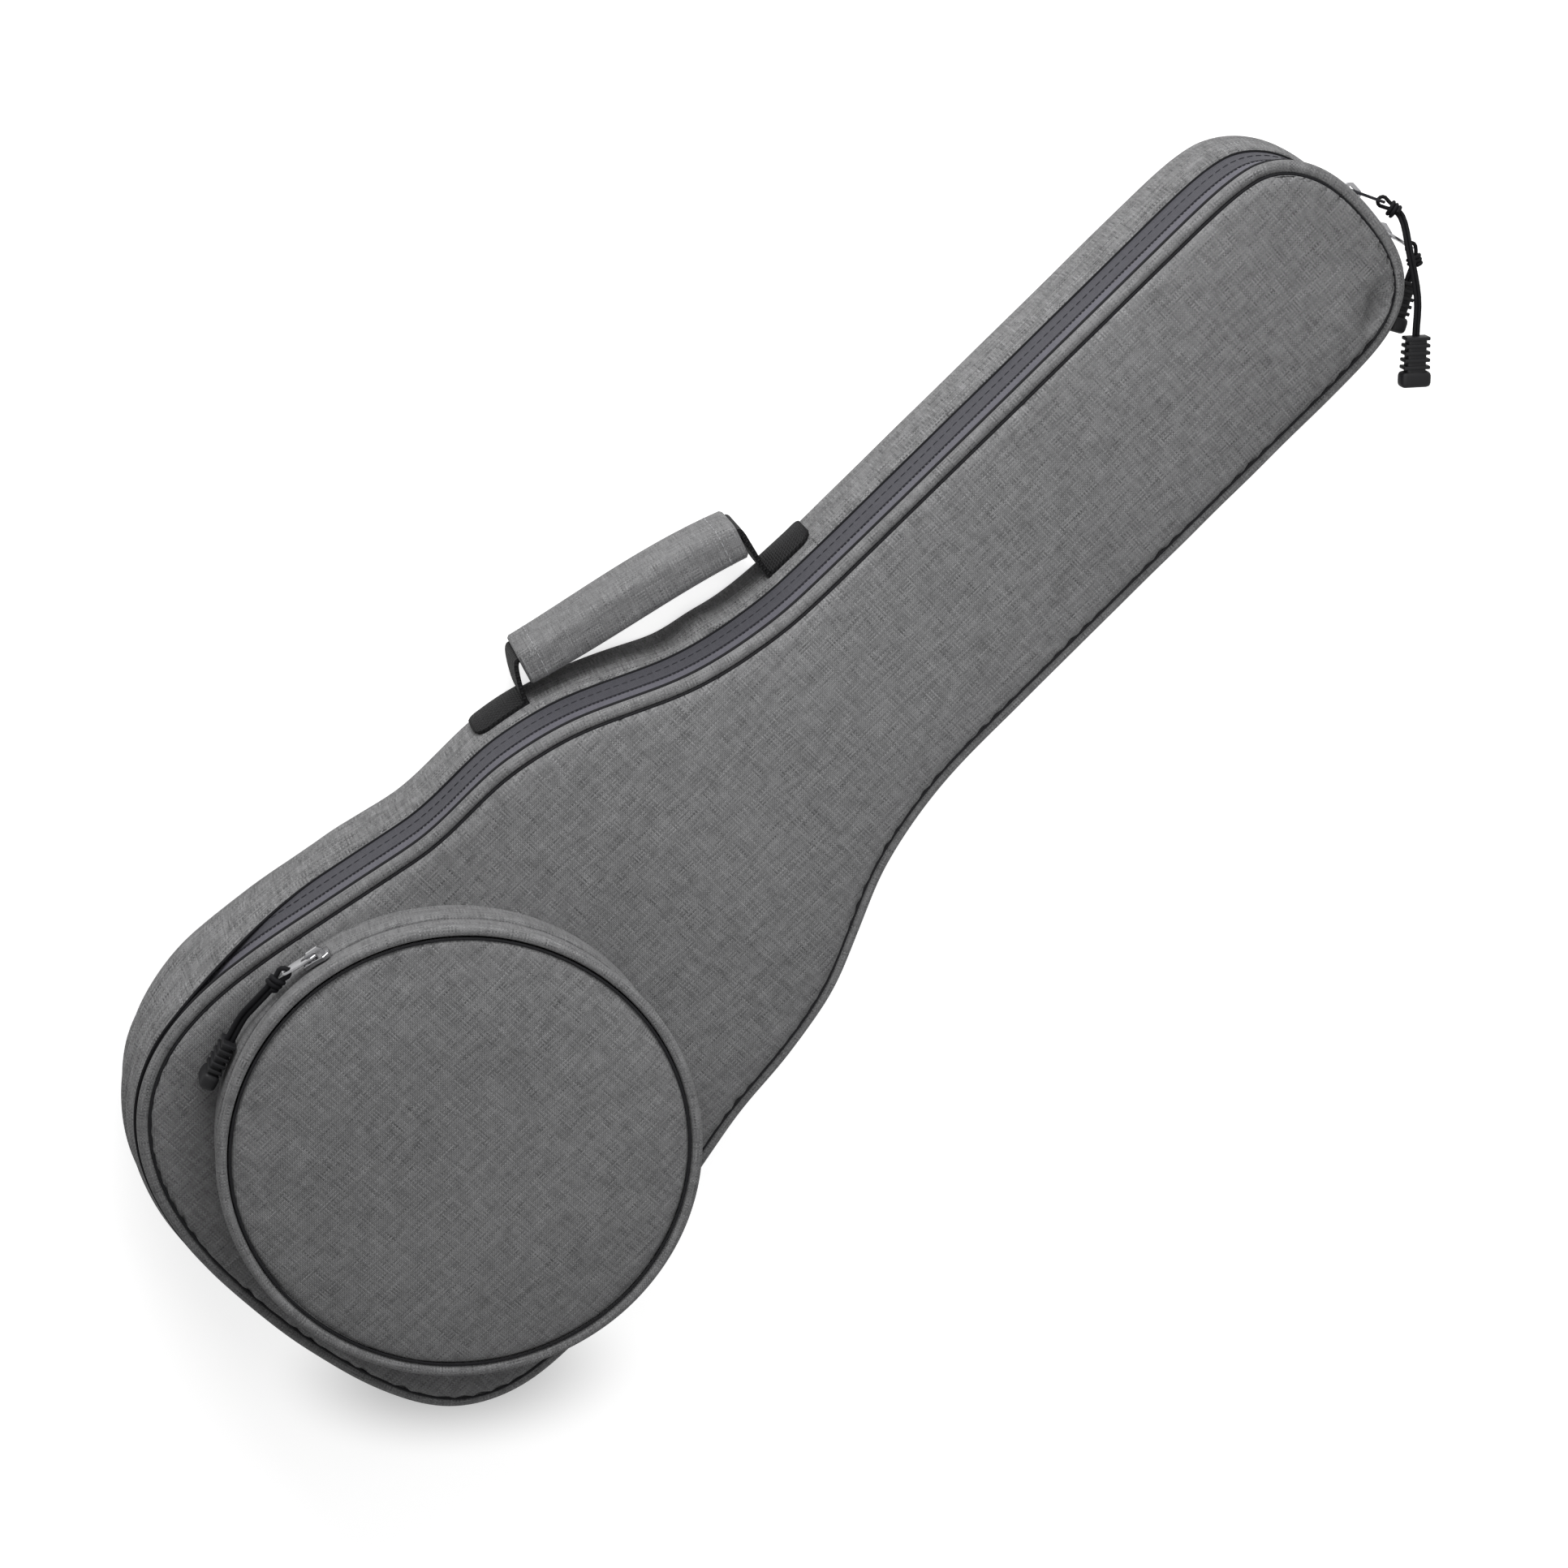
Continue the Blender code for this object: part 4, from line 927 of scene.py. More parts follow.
def make_back():
    net, depth = bag_net(BACK_SHIFT)
    low = BACK_GROOVE - rolled_edge(depth, 0.0, BACK_GROOVE, BACK_ROLL)
    inner = bag_net(WALL_INNER)[0]
    cushion = make_skin("back_cushion", raised(inner, BACK_TOP), raised(net, low), HEATHER)
    dress(cushion, "back_shell", "grey_cloth", "back_panel", "back_padding")


def make_flat_lining(name, node, body, face_up):
    low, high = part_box(node)
    shift = high.y - OUTLINE[:, 1].max()
    net, depth = bag_net(shift)
    loose = LINING_LOOSE * (1 + soft_noise(net, size=0.05, seed=23)) * (depth > LINING_SEWN)
    top = raised(net, high.z + (loose if face_up else 0.0))
    bottom = raised(net, low.z - (0.0 if face_up else loose))
    lining = make_skin(name, top, bottom, LINING)
    dress(lining, body, "dark_lining", node)


make_back()
make_flat_lining("back_lining_cloth", "back_lining", "back_shell", True)
make_flat_lining("front_lining_cloth", "front_lining", "lid", False)
print("back and linings laid")

# %% [markdown]
# The main zipper has two woven tapes, one sewn to the wall and one under the piping. Their edges
# carry a nylon coil each, wound round a cord, and the two coils mesh on the parting line. The
# tapes stop at the fold on the -Y side, where the wall's own cloth goes on up to the lid.

# %% Zipper tapes and coils
PARTING = (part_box("tub_zipper_coil")[1].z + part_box("lid_zipper_coil")[0].z) / 2
TAPE_FACE = -0.0011
TAPE_LEAN = 0.0010
TAPE_THICK = 0.0009
TAPE_FOOT = WALL_TOP - 0.0012
TAPE_HEAD = PIPING_LEVEL - PIPING_RADIUS + 0.0006
COIL_SHIFT = -0.0034
SLIT_HALF = 0.0010
COIL_PITCH = 0.0017
COIL_APART = 0.00068
COIL_WIRE = 0.00036
COIL_DEEP = 0.0010
COIL_TALL = 0.00085
COIL_SIDES = 8
FOLD_LOW, FOLD_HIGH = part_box("hinge_panel_lower")
# The steps from the head end of the fold, round head and tail, to the fold's tail end
ON_FOLD = (OUTLINE[:, 1] < 0) & (OUTLINE[:, 0] > FOLD_LOW.x) & (OUTLINE[:, 0] < FOLD_HIGH.x)
ZIP_END, ZIP_START = (int(step) for step in np.flatnonzero(ON_FOLD)[[0, -1]] + (-1, 1))
ZIP_STEPS = np.arange(ZIP_START, ZIP_END + OUTLINE_STEPS + 1) % OUTLINE_STEPS
FOLD_STEPS = np.arange(ZIP_END, ZIP_START + 1)


def tape_shift(level):
    # Both tapes lean in, from the wall's edge to the seam under the piping
    return TAPE_FACE - TAPE_LEAN * (level - WALL_TOP) / (PARTING - WALL_TOP)


def make_tape(name, node, body, low, high, material):
    levels = np.linspace(low, high, 6)
    wave = wavy(size=0.06, reach=0.00012, seed=29)
    rows = [at_edge(tape_shift(level) + wave, level)[ZIP_STEPS] for level in levels]
    rows += [at_edge(tape_shift(level) - TAPE_THICK, level)[ZIP_STEPS] for level in levels[::-1]]
    tape = make_strip(name, rows, material, runs_round=False, smooth=40.0)
    dress(tape, body, "zipper_tape", node)


def wire(name, points, radius, resolution, material):
    # A round wire along a line of points, still a curve
    curve = bpy.data.curves.new(name, "CURVE")
    curve.dimensions = "3D"
    curve.bevel_depth = radius
    curve.bevel_resolution = resolution
    curve.use_fill_caps = True
    spline = curve.splines.new("POLY")
    spline.points.add(len(points) - 1)
    places = np.column_stack([np.array(points), np.ones(len(points))])
    spline.points.foreach_set("co", places.astype(np.float32).ravel())
    return new_piece(name, curve, material)


def make_coil(name, line, out, way, body, node):
    # A wire wound round a line: its turns lean out to one side and up or down into the other coil
    lengths = lengths_of(line)
    at = np.linspace(0.0, lengths[-1], int(lengths[-1] / COIL_PITCH) * COIL_SIDES)
    angle = 2 * math.pi * at / COIL_PITCH
    lean = points_at(out, lengths, at) * (COIL_DEEP * np.cos(angle))[:, None]
    flat = points_at(line[:, :2], lengths, at) + lean
    height = line[0, 2] + way * (COIL_APART + COIL_TALL * np.sin(angle))
    pick(wire(name, np.column_stack([flat, height]), COIL_WIRE, 0, NYLON))
    bpy.ops.object.convert(target="MESH")
    coil = bpy.context.object
    bpy.ops.object.mode_set(mode="EDIT")
    bpy.ops.mesh.select_all(action="SELECT")
    bpy.ops.mesh.remove_doubles(threshold=SAME_POINT)
    bpy.ops.object.mode_set(mode="OBJECT")
    finish_shading(coil, 60.0)
    dress(coil, body, "nylon_coil", node)
    return len(coil.data.polygons)


# The tub's tape takes the darker copy of the tape: painted shade
make_tape("tub_tape", "tub_zipper_tape", "back_shell", TAPE_FOOT, PARTING - SLIT_HALF, TAPE_PAINTED_SHADE)
make_tape("lid_tape", "lid_zipper_tape", "lid", PARTING + SLIT_HALF, TAPE_HEAD, TAPE_CLOTH)
coil_line = at_edge(COIL_SHIFT, PARTING)[ZIP_STEPS]
make_coil("tub_coil", coil_line, OUT[ZIP_STEPS], -1, "back_shell", "tub_zipper_coil")
coil_faces = make_coil("lid_coil", coil_line, OUT[ZIP_STEPS], 1, "lid", "lid_zipper_coil")
print("coils of", coil_faces, "faces each")

# %% [markdown]
# Between the zipper's ends the wall's own cloth goes up from the tub to the piping. It is the
# bag's hinge, across the parting line.

# %% Fold cloth
FOLD_LEVELS = 14
FOLD_DIP = 0.0009
FOLD_DIP_HALF = 0.0016
FOLD_THICK = 0.0014
FOLD_OUT = 0.0003


def make_fold():
    low = WALL_TOP - 0.0010
    levels = np.linspace(low, TAPE_HEAD, FOLD_LEVELS)
    rows = []
    for level in levels:
        dip = FOLD_DIP * math.exp(-(((level - PARTING) / FOLD_DIP_HALF) ** 2))
        shift = tape_shift(level) + FOLD_OUT - dip + wavy(size=0.03, reach=0.0002, seed=31)
        rows.append(at_edge(shift, level)[FOLD_STEPS])
    rows += [at_edge(tape_shift(level) - FOLD_THICK, level)[FOLD_STEPS] for level in levels[::-1]]
    cloth = make_strip("fold_cloth", rows, HEATHER, runs_round=False)
    dress(cloth, None, "grey_cloth", "hinge_panel_lower", "hinge_panel_upper")
    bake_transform(cloth)


make_fold()
print("fold cloth over", len(FOLD_STEPS), "steps")

# %% [markdown]
# The tub's tape is sewn down with one row of dark stitches. A stitch is a short fat rod with
# thinner ends, so a row is made of many small solids.

# %% Stitch rows
STITCH_PITCH = 0.0034
STITCH_LONG = 0.0024
STITCH_RADIUS = 0.00022
STITCH_SIDES = 6
STITCH_SHAPE = ((-0.5, 0.3), (-0.32, 1.0), (0.32, 1.0), (0.5, 0.3))
STITCH_LEVEL = WALL_TOP + 0.0075
STITCH_OUT = 0.0001


def make_stitches(name, line, material, body, slot):
    # Short fat stitches, end to end along a line of points
    lengths = lengths_of(line)
    points, faces = [], []
    places = np.arange(STITCH_PITCH / 2, lengths[-1] - STITCH_LONG / 2, STITCH_PITCH)
    for place in places:
        ends = points_at(line, lengths, [place - STITCH_LONG / 2, place + STITCH_LONG / 2])
        start, end = (Vector(spot) for spot in ends)
        along = end - start
        side = along.orthogonal().normalized()
        over = along.normalized().cross(side)
        first = len(points)
        for share, width in STITCH_SHAPE:
            for turn in range(STITCH_SIDES):
                angle = 2 * math.pi * turn / STITCH_SIDES
                off = (side * math.cos(angle) + over * math.sin(angle)) * STITCH_RADIUS * width
                points.append((start + end) / 2 + along * share + off)
        last = len(points) - STITCH_SIDES
        for low in range(first, last, STITCH_SIDES):
            for turn in range(STITCH_SIDES):
                here, beside = low + turn, low + (turn + 1) % STITCH_SIDES
                faces.append((here, beside, beside + STITCH_SIDES, here + STITCH_SIDES))
        faces.append(tuple(range(first + STITCH_SIDES - 1, first - 1, -1)))
        faces.append(tuple(range(last, last + STITCH_SIDES)))
    mesh = bpy.data.meshes.new(name)
    mesh.from_pydata([tuple(point) for point in points], [], faces)
    stitches = new_piece(name, mesh, material)
    finish_shading(stitches, 60.0)
    dress(stitches, body, slot)
    return len(places)


tape_row = at_edge(tape_shift(STITCH_LEVEL) + STITCH_OUT, STITCH_LEVEL)[ZIP_STEPS]
stitch_count = make_stitches("tape_stitches", tape_row, DARK_THREAD, "back_shell", "zipper_tape")
print(stitch_count, "stitches on the tub's tape")

# %% [markdown]
# The pocket is a round box of the same cloth on the front. Its zipper runs round the side that
# faces the head, hidden under the edges of the wall, so that only a thin dark line shows. The
# flap turns on a straight fold across the face.

# %% Pocket sizes
POCKET_LOW, POCKET_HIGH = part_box("pocket_gusset_lower")
POCKET_X = (POCKET_LOW.x + POCKET_HIGH.x) / 2
POCKET_WALL = (POCKET_HIGH.x - POCKET_LOW.x) / 2
POCKET_PART = (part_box("pocket_coil_lower")[1].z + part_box("pocket_coil_upper")[0].z) / 2
RIM_LOW, RIM_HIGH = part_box("pocket_piping_tail")
RIM_RADIUS = (RIM_HIGH.z - RIM_LOW.z) / 2
RIM_REACH = POCKET_X - RIM_LOW.x - RIM_RADIUS
RIM_LEVEL = RIM_LOW.z + RIM_RADIUS
FACE_LOW, FACE_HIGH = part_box("pocket_face_tail")
FACE_RADIUS = POCKET_X - FACE_LOW.x
POCKET_FOLD_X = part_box("pocket_face_flap")[0].x
POCKET_SAG = 0.0078
POCKET_LEAN = 2.4
POCKET_RING = 240
ZIP_HALF = math.acos((POCKET_FOLD_X - POCKET_X) / POCKET_WALL)
POCKET_TURNS = np.linspace(-math.pi, math.pi, POCKET_RING, endpoint=False)


def pocket_row(radius, height, turns=POCKET_TURNS):
    # One ring, or a part of one, about the pocket's middle. Its upper edge leans out over the
    # bag's side away from the handle, where the full pocket sags
    share = np.clip((np.asarray(height) - POCKET_LOW.z) / (RIM_LEVEL - POCKET_LOW.z), 0.0, 1.0)
    lean = POCKET_SAG * share ** POCKET_LEAN * np.clip((0.5 - np.sin(turns)) / 1.5, 0.0, 1.0) ** 2
    reach = radius + lean
    height = np.broadcast_to(height, turns.shape)
    return np.column_stack([POCKET_X + reach * np.cos(turns), reach * np.sin(turns), height])


def ring_wave(waves, reach, seed):
    return wander(POCKET_TURNS, waves, 1.7, reach, seed)


def fold_blend(piece):
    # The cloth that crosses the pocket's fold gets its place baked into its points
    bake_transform(piece)


print("pocket of radius", round(POCKET_WALL * 1000, 1), "mm")

# %% [markdown]
# The lower wall flares onto the panel at its foot and is a little creased. Above the slit a
# second band goes up to the piping, and the face is swollen like the front.

# %% Pocket wall, zipper, piping and face
POCKET_CLOTH = 0.0010
TAPE_IN = 0.0002
SLIT = 0.0007
POCKET_CREASE = 0.00028
CREASE_TALL = 0.014
BAND_BULGE = 0.0006
BAND_LEVELS = 6
POCKET_TAPE = (0.0003, 0.0045)
COIL_IN = 0.0018
FACE_LEVEL = RIM_LEVEL + 0.0012
FACE_ROLL = 0.0040
FACE_STEPS = 480
FACE_CORNERS = (60, 180)
FACE_NET = 61
FACE_UNEVEN = 0.0004
# How far out and how high the lower wall goes, from its foot up
WALL_STEPS = (
    (0.0009, -0.0009), (0.0003, 0.0), (0.0001, 0.0022), (0.0005, 0.0045), (0.0007, 0.0075),
    (0.0006, 0.0105), (0.0003, 0.0130),
)


def make_pocket_wall():
    crease = POCKET_CREASE * ring_wave(waves=26, reach=1.0, seed=41)
    inner = POCKET_WALL - POCKET_CLOTH
    rows = []
    for shift, rise in WALL_STEPS:
        loose = crease * math.sin(math.pi * min(max(rise, 0.0) / CREASE_TALL, 1.0))
        rows.append(pocket_row(POCKET_WALL + shift + loose, POCKET_LOW.z + rise))
    rows += [pocket_row(reach, POCKET_PART - SLIT) for reach in (POCKET_WALL - TAPE_IN, inner)]
    rows += [pocket_row(inner, POCKET_LOW.z + rise) for shift, rise in WALL_STEPS[::-1]]
    wall = make_strip("pocket_wall_cloth", rows, HEATHER)
    dress(wall, "lid", "grey_cloth", "pocket_gusset_lower")


def make_pocket_band():
    # The upper wall, from the zipper, or from the lower wall at the fixed side, up to the piping
    low = POCKET_PART + SLIT
    tall = RIM_LEVEL - RIM_RADIUS + 0.0008 - low
    rows = []
    wave = ring_wave(waves=20, reach=0.0001, seed=43)
    for share in np.linspace(0.0, 1.0, BAND_LEVELS):
        shift = BAND_BULGE * math.sin(math.pi * share) - TAPE_IN
        rows.append(pocket_row(POCKET_WALL + shift + wave, low + tall * share))
    for share in np.linspace(1.0, 0.0, BAND_LEVELS):
        rows.append(pocket_row(POCKET_WALL - POCKET_CLOTH - TAPE_IN, low + tall * share))
    band = make_strip("pocket_upper_wall_cloth", rows, HEATHER)
    dress(band, None, "grey_cloth", "pocket_gusset_tail", "pocket_gusset_flap")
    fold_blend(band)


def make_pocket_zipper(side, way, body):
    # One tape and one coil, below the parting line or above it
    arc = np.linspace(-ZIP_HALF, ZIP_HALF, 100)
    outer = POCKET_WALL - POCKET_CLOTH - TAPE_IN
    low, high = sorted(POCKET_PART + way * away for away in POCKET_TAPE)
    rows = [pocket_row(outer, level, arc) for level in np.linspace(low, high, 3)]
    rows += [pocket_row(outer - 0.0008, level, arc) for level in np.linspace(high, low, 3)]
    # The pocket's tapes take the darker copy of the tape: painted shade in the slit
    tape = make_strip("pocket_" + side + "_tape", rows, TAPE_PAINTED_SHADE, runs_round=False, smooth=40.0)
    dress(tape, body, "zipper_tape", "pocket_tape_" + side)
    arc = np.linspace(-ZIP_HALF, ZIP_HALF, 200)
    line = pocket_row(POCKET_WALL - POCKET_CLOTH - COIL_IN, POCKET_PART, arc)
    out = np.column_stack([np.cos(arc), np.sin(arc)])
    make_coil("pocket_" + side + "_coil", line, out, way, body, "pocket_coil_" + side)


def make_pocket_piping():
    lift = ring_wave(waves=14, reach=0.00012, seed=47)
    rows = tube_rows(
        lambda out, up: pocket_row(RIM_REACH + out, RIM_LEVEL + up + lift), RIM_RADIUS, PIPING_SIDES,
    )
    piping = make_strip("pocket_edge_piping", rows, HEATHER)
    fold_blend(dress(piping, None, "grey_cloth", "pocket_piping_tail", "pocket_piping_flap"))


def make_pocket_face():
    turns = np.linspace(-math.pi, math.pi, FACE_STEPS, endpoint=False)
    circle = pocket_row(FACE_RADIUS - 0.0002, FACE_LOW.z, turns)[:, :2]
    net = laid_net(circle, FACE_CORNERS, FACE_NET, FACE_NET)
    depth = depth_inside(net, circle)
    top = raised(net, rolled_edge(depth, FACE_HIGH.z - 0.0040, FACE_HIGH.z - 0.0005, FACE_ROLL))
    top = swollen(top, depth < PAD_STITCH_DEPTH, pressure=3.0, most=0.0022)
    top[..., 2] += (1 - np.exp(-depth / 0.02)) * FACE_UNEVEN * soft_noise(net, size=0.06, seed=53)
    face = make_skin("pocket_face_cushion", top, raised(net, FACE_LOW.z + 0.0002), HEATHER)
    dress(face, None, "grey_cloth", "pocket_face_tail", "pocket_face_flap")
    fold_blend(face)


make_pocket_wall()
make_pocket_band()
make_pocket_zipper("lower", -1, "lid")
make_pocket_zipper("upper", 1, "pocket_flap")
make_pocket_piping()
# A black strip round the pocket face's seam: painted shade
fold_blend(make_seam_shade("pocket_seam_shade", lambda out, up: pocket_row(FACE_RADIUS + out, FACE_LEVEL + up), None))
make_pocket_face()
print("pocket zipper over", round(math.degrees(2 * ZIP_HALF)), "degrees")

# %% [markdown]
# The carrying handle is a loop of webbing sewn flat on the wall at both ends, with a padded
# sleeve round it. Where the loop lies is read off the frame by looking at its solids from
# outside, level with the middle of the strap.

# %% Handle: reading its line off the frame
SWING = JOINTS["handle_swing"]
HANDLE_WAY = Vector(SWING["axis"]).normalized()
HANDLE_FOOT = Vector(SWING["pos_m"])
HANDLE_OUT = Vector((-HANDLE_WAY.y, HANDLE_WAY.x, 0.0))
STRAP_LEVEL = HANDLE_FOOT.z
LOOK_FROM = 0.2
LOOK_BACK = 0.1


def faces_of(node):
    mesh = NODES[node].data
    places = [vertex.co for vertex in mesh.vertices]
    return BVHTree.FromPolygons(places, [face.vertices for face in mesh.polygons])


def reach_of(tree, along):
    # How far out a solid starts and ends at a place along the handle's line
    base = HANDLE_FOOT + HANDLE_WAY * along
    far = tree.ray_cast(base + HANDLE_OUT * LOOK_FROM, -HANDLE_OUT)[0]
    near = tree.ray_cast(base - HANDLE_OUT * LOOK_BACK, HANDLE_OUT)[0]
    return (near - base).dot(HANDLE_OUT), (far - base).dot(HANDLE_OUT)


def span_of(node):
    places = [(vertex.co - HANDLE_FOOT).dot(HANDLE_WAY) for vertex in NODES[node].data.vertices]
    return min(places), max(places)


def half_width(node):
    low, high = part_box(node)
    return (high.z - low.z) / 2


def handle_spot(along, out, level):
    spot = HANDLE_FOOT + HANDLE_WAY * float(along) + HANDLE_OUT * float(out)
    return spot.x, spot.y, STRAP_LEVEL + level


GRIP_FACES = faces_of("handle_grip")
GRIP_START, GRIP_END = span_of("handle_grip")
STRAP_START, STRAP_END = span_of("handle_webbing")
MIDWAY = (GRIP_START + GRIP_END) / 2
print("sleeve from", round(GRIP_START * 1000), "to", round(GRIP_END * 1000), "mm along the handle")

# %% [markdown]
# The sleeve is cloth round a soft core, so its section is a rounded oblong, thickest at the
# middle. A row of pale stitches closes it near each end.

# %% Padded sleeve
SLEEVE_ROWS = 30
SLEEVE_SIDES = 36
SLEEVE_SQUARE = 7.0
SLEEVE_ARCH = 0.50
SLEEVE_ROUND = 0.0009
SLEEVE_SWELL = 0.11
SLEEVE_INSET = 0.0003
SLEEVE_END = 0.92
READ_INSET = 0.001
HEM_OUT = 0.01
SLEEVE_HEMS = {"tail": 3, "head": SLEEVE_ROWS - 2}


def sleeve_line():
    # The middle of the sleeve at places from end to end, a little straighter than the solid's
    start, end = GRIP_START + SLEEVE_INSET, GRIP_END - SLEEVE_INSET
    places = np.r_[start, np.linspace(start + SLEEVE_ROUND, end - SLEEVE_ROUND, SLEEVE_ROWS), end]
    inside = np.clip(places, start + READ_INSET, end - READ_INSET)
    read = [sum(reach_of(GRIP_FACES, place)) / 2 for place in inside]
    arched = np.polyval(np.polyfit(places, read, 3), places)
    level = np.interp(places, [start, end], [arched[0], arched[-1]])
    return places, level + SLEEVE_ARCH * (arched - level)


def make_sleeve():
    places, middles = sleeve_line()
    near, far = reach_of(GRIP_FACES, MIDWAY)
    wide = half_width("handle_grip")
    rows = []
    for side in range(SLEEVE_SIDES):
        angle = 2 * math.pi * side / SLEEVE_SIDES
        cosine, sine = math.cos(angle), math.sin(angle)
        size = (abs(cosine) ** SLEEVE_SQUARE + abs(sine) ** SLEEVE_SQUARE) ** (-1 / SLEEVE_SQUARE)
        row = []
        for place, middle in zip(places, middles):
            end = min(place - places[0], places[-1] - place)
            full = SLEEVE_END + (1 - SLEEVE_END) * min(end / SLEEVE_ROUND, 1.0)
            swell = 1 + SLEEVE_SWELL * math.cos(math.pi * (place - MIDWAY) / (GRIP_END - GRIP_START))
            thick = (far - near) / 2 * full * swell
            row.append(handle_spot(place, middle + thick * cosine * size, wide * full * sine * size))
        rows.append(row)
    sleeve = make_strip("handle_sleeve", rows, HEATHER, runs_round=False, smooth=50.0)
    dress(sleeve, "handle", "grey_cloth", "handle_grip")
    for end, row in SLEEVE_HEMS.items():
        ring = np.array(rows)[:, row]
        ring = ring + (ring - ring.mean(axis=0)) * HEM_OUT
        line = np.vstack([ring, ring[:1]])
        make_stitches("sleeve_stitches_" + end, line, PALE_THREAD, "handle", "grey_cloth")


make_sleeve()
print("sleeve of", SLEEVE_SIDES, "rows and", len(SLEEVE_HEMS), "hems")

# %% [markdown]
# The loop's feet stay with the wall and its middle swings with the handle. The patches lie on
# the wall's bulge and have two round corners.

# %% Webbing loop and patches
WEB_THICK = 0.0018
TUCKED_UNDER = 0.0030
CORNER_CUTS = 3
PATCH_ROUND = 0.0060
PATCH_NEAR = 0.0018
PATCH_THICK = 0.0016
PATCH_WIDTHS = 9
PATCH_PLACES = 25
# From a patch into the sleeve: how far past the strap's or the sleeve's end, the share of the
# sleeve's height, and how far above that
TAIL_RISE = (
    ("strap", -TUCKED_UNDER, 0.0, 0.0004), ("strap", 0.0002, 0.0, 0.0008), ("strap", -0.0012, 0.35, 0.0),
    ("strap", 0.0004, 0.85, 0.0), ("grip", -0.0010, 1.0, 0.0044), ("grip", 0.0020, 1.0, 0.0030),
)
HEAD_FALL = (
    ("grip", -0.0020, 1.0, 0.0030), ("grip", 0.0010, 1.0, 0.0044), ("grip", 0.0016, 1.0, -0.0020),
    ("grip", 0.0024, 0.45, 0.0), ("strap", -0.0002, 0.0, 0.0008), ("strap", TUCKED_UNDER, 0.0, 0.0004),
)


def loop_path():
    # Places along and out from the wall, with the corners of the line cut round
    places, middles = sleeve_line()
    tail, head = ({"strap": STRAP_START, "grip": GRIP_START}, {"strap": STRAP_END, "grip": GRIP_END})
    rise = [(tail[end] + past, middles[0] * share + up) for end, past, share, up in TAIL_RISE]
    fall = [(head[end] + past, middles[-1] * share + up) for end, past, share, up in HEAD_FALL]
    line = np.array(rise + list(zip(places[3:-3:4], middles[3:-3:4])) + fall)
    for _ in range(CORNER_CUTS):
        early = 0.75 * line[:-1] + 0.25 * line[1:]
        late = 0.25 * line[:-1] + 0.75 * line[1:]
        line = np.vstack([line[:1], np.stack([early, late], axis=1).reshape(-1, 2)[1:-1], line[-1:]])
    return line


def make_loop():
    path = loop_path()
    along = np.gradient(path, axis=0)
    normal = np.column_stack([-along[:, 1], along[:, 0]]) / np.linalg.norm(along, axis=1)[:, None]
    wide = half_width("handle_webbing")
    rows = []
    for depth, level in ((1, -1), (1, 1), (-1, 1), (-1, -1)):
        edge = path + normal * depth * WEB_THICK / 2
        rows.append([handle_spot(place, out, level * wide) for place, out in edge])
    loop = make_strip("handle_loop", rows, WEBBING, runs_round=False, smooth=30.0)
    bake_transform(loop)
    dress(loop, None, "webbing", "handle_webbing")


def wall_spot(step, height, lift):
    # A place on the wall's face, between the outline's steps, and so far off it
    flat = OUTLINE + OUT * (wall_shift(height) + lift)[:, None]
    x, y = points_at(flat, np.arange(OUTLINE_STEPS), [step])[0]
    return x, y, height


def make_patch(name, node, far_first):
    # The folded end of the webbing, sewn on the wall, with its far corners cut round
    low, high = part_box(node)
    on_side = (OUTLINE[:, 1] > 0) & (OUTLINE[:, 0] > low.x - 0.0005) & (OUTLINE[:, 0] < high.x + 0.0005)
    first, last = (float(step) for step in np.flatnonzero(on_side)[[0, -1]])
    widths = np.linspace(-1.0, 1.0, PATCH_WIDTHS)
    rows = []
    upper = [(PATCH_THICK, width) for width in widths]
    lower = [(0.0, width) for width in widths[::-1]]
    for lift, width in upper + lower:
        row = []
        for share in np.linspace(0.0, 1.0, PATCH_PLACES):
            end = min(share, 1 - share) * (last - first) * STEP
            reach = PATCH_ROUND if (share < 0.5) == far_first else PATCH_NEAR
            inside = max(0.0, 1 - (1 - min(end / reach, 1.0)) ** 2)
            wide = (high.z - low.z) / 2 - reach * (1 - math.sqrt(inside))
            row.append(wall_spot(first + (last - first) * share, STRAP_LEVEL + wide * width, lift))
        rows.append(row)
    patch = make_strip(name, rows, WEBBING, runs_round=False, smooth=35.0)
    dress(patch, "back_shell", "webbing", node)


make_loop()
make_patch("handle_patch_tail", "handle_anchor_tail", False)
make_patch("handle_patch_head", "handle_anchor_head", True)
print("webbing loop and two patches")

# %% [markdown]
# The zipper pulls: plated sliders and tabs as they are in the frame, a doubled cord from each
# tab, and a moulded rubber grip with ribs and a wider foot. A cord goes from its grip round the
# tab's bar and back, so both its ends are inside the grip. Behind the tab it is hitched: two
# turns of the same cord go round both its legs.

# %% Cords
TAB_BAR = 0.0011
TOUCH = 0.0003
CLOSE_IN = 0.0042
CLOSE_SHARE = 0.6
CORD_TUCKED = 0.0015
CORD_FINE = 4
BEND_STEPS = 6
KNOT_AWAY = 0.0052
KNOT_TURNS = 2.25
KNOT_FINE = 16
KNOT_SIDE = 0.0024
KNOT_UP = 0.0016
UP = Vector((0.0, 0.0, 1.0))
CORD_THICKS = {"a": 0.0015, "b": 0.0015, "pocket": 0.0020}
CORD_ROUTES = {
    "a": [
        (0.0012, -0.0084, 0.0030), (-0.0062, -0.0188, 0.0088),
        (-0.0155, -0.0325, 0.0125), (-0.0250, -0.0430, 0.0125),
    ],
    "b": [(-0.0024, -0.0046, 0.0005), (-0.0088, -0.0082, 0.0010)],
    "pocket": [(-0.0139, -0.0013, -0.0025), (-0.0236, -0.0028, -0.0058), (-0.0326, -0.0055, -0.0063)],
}


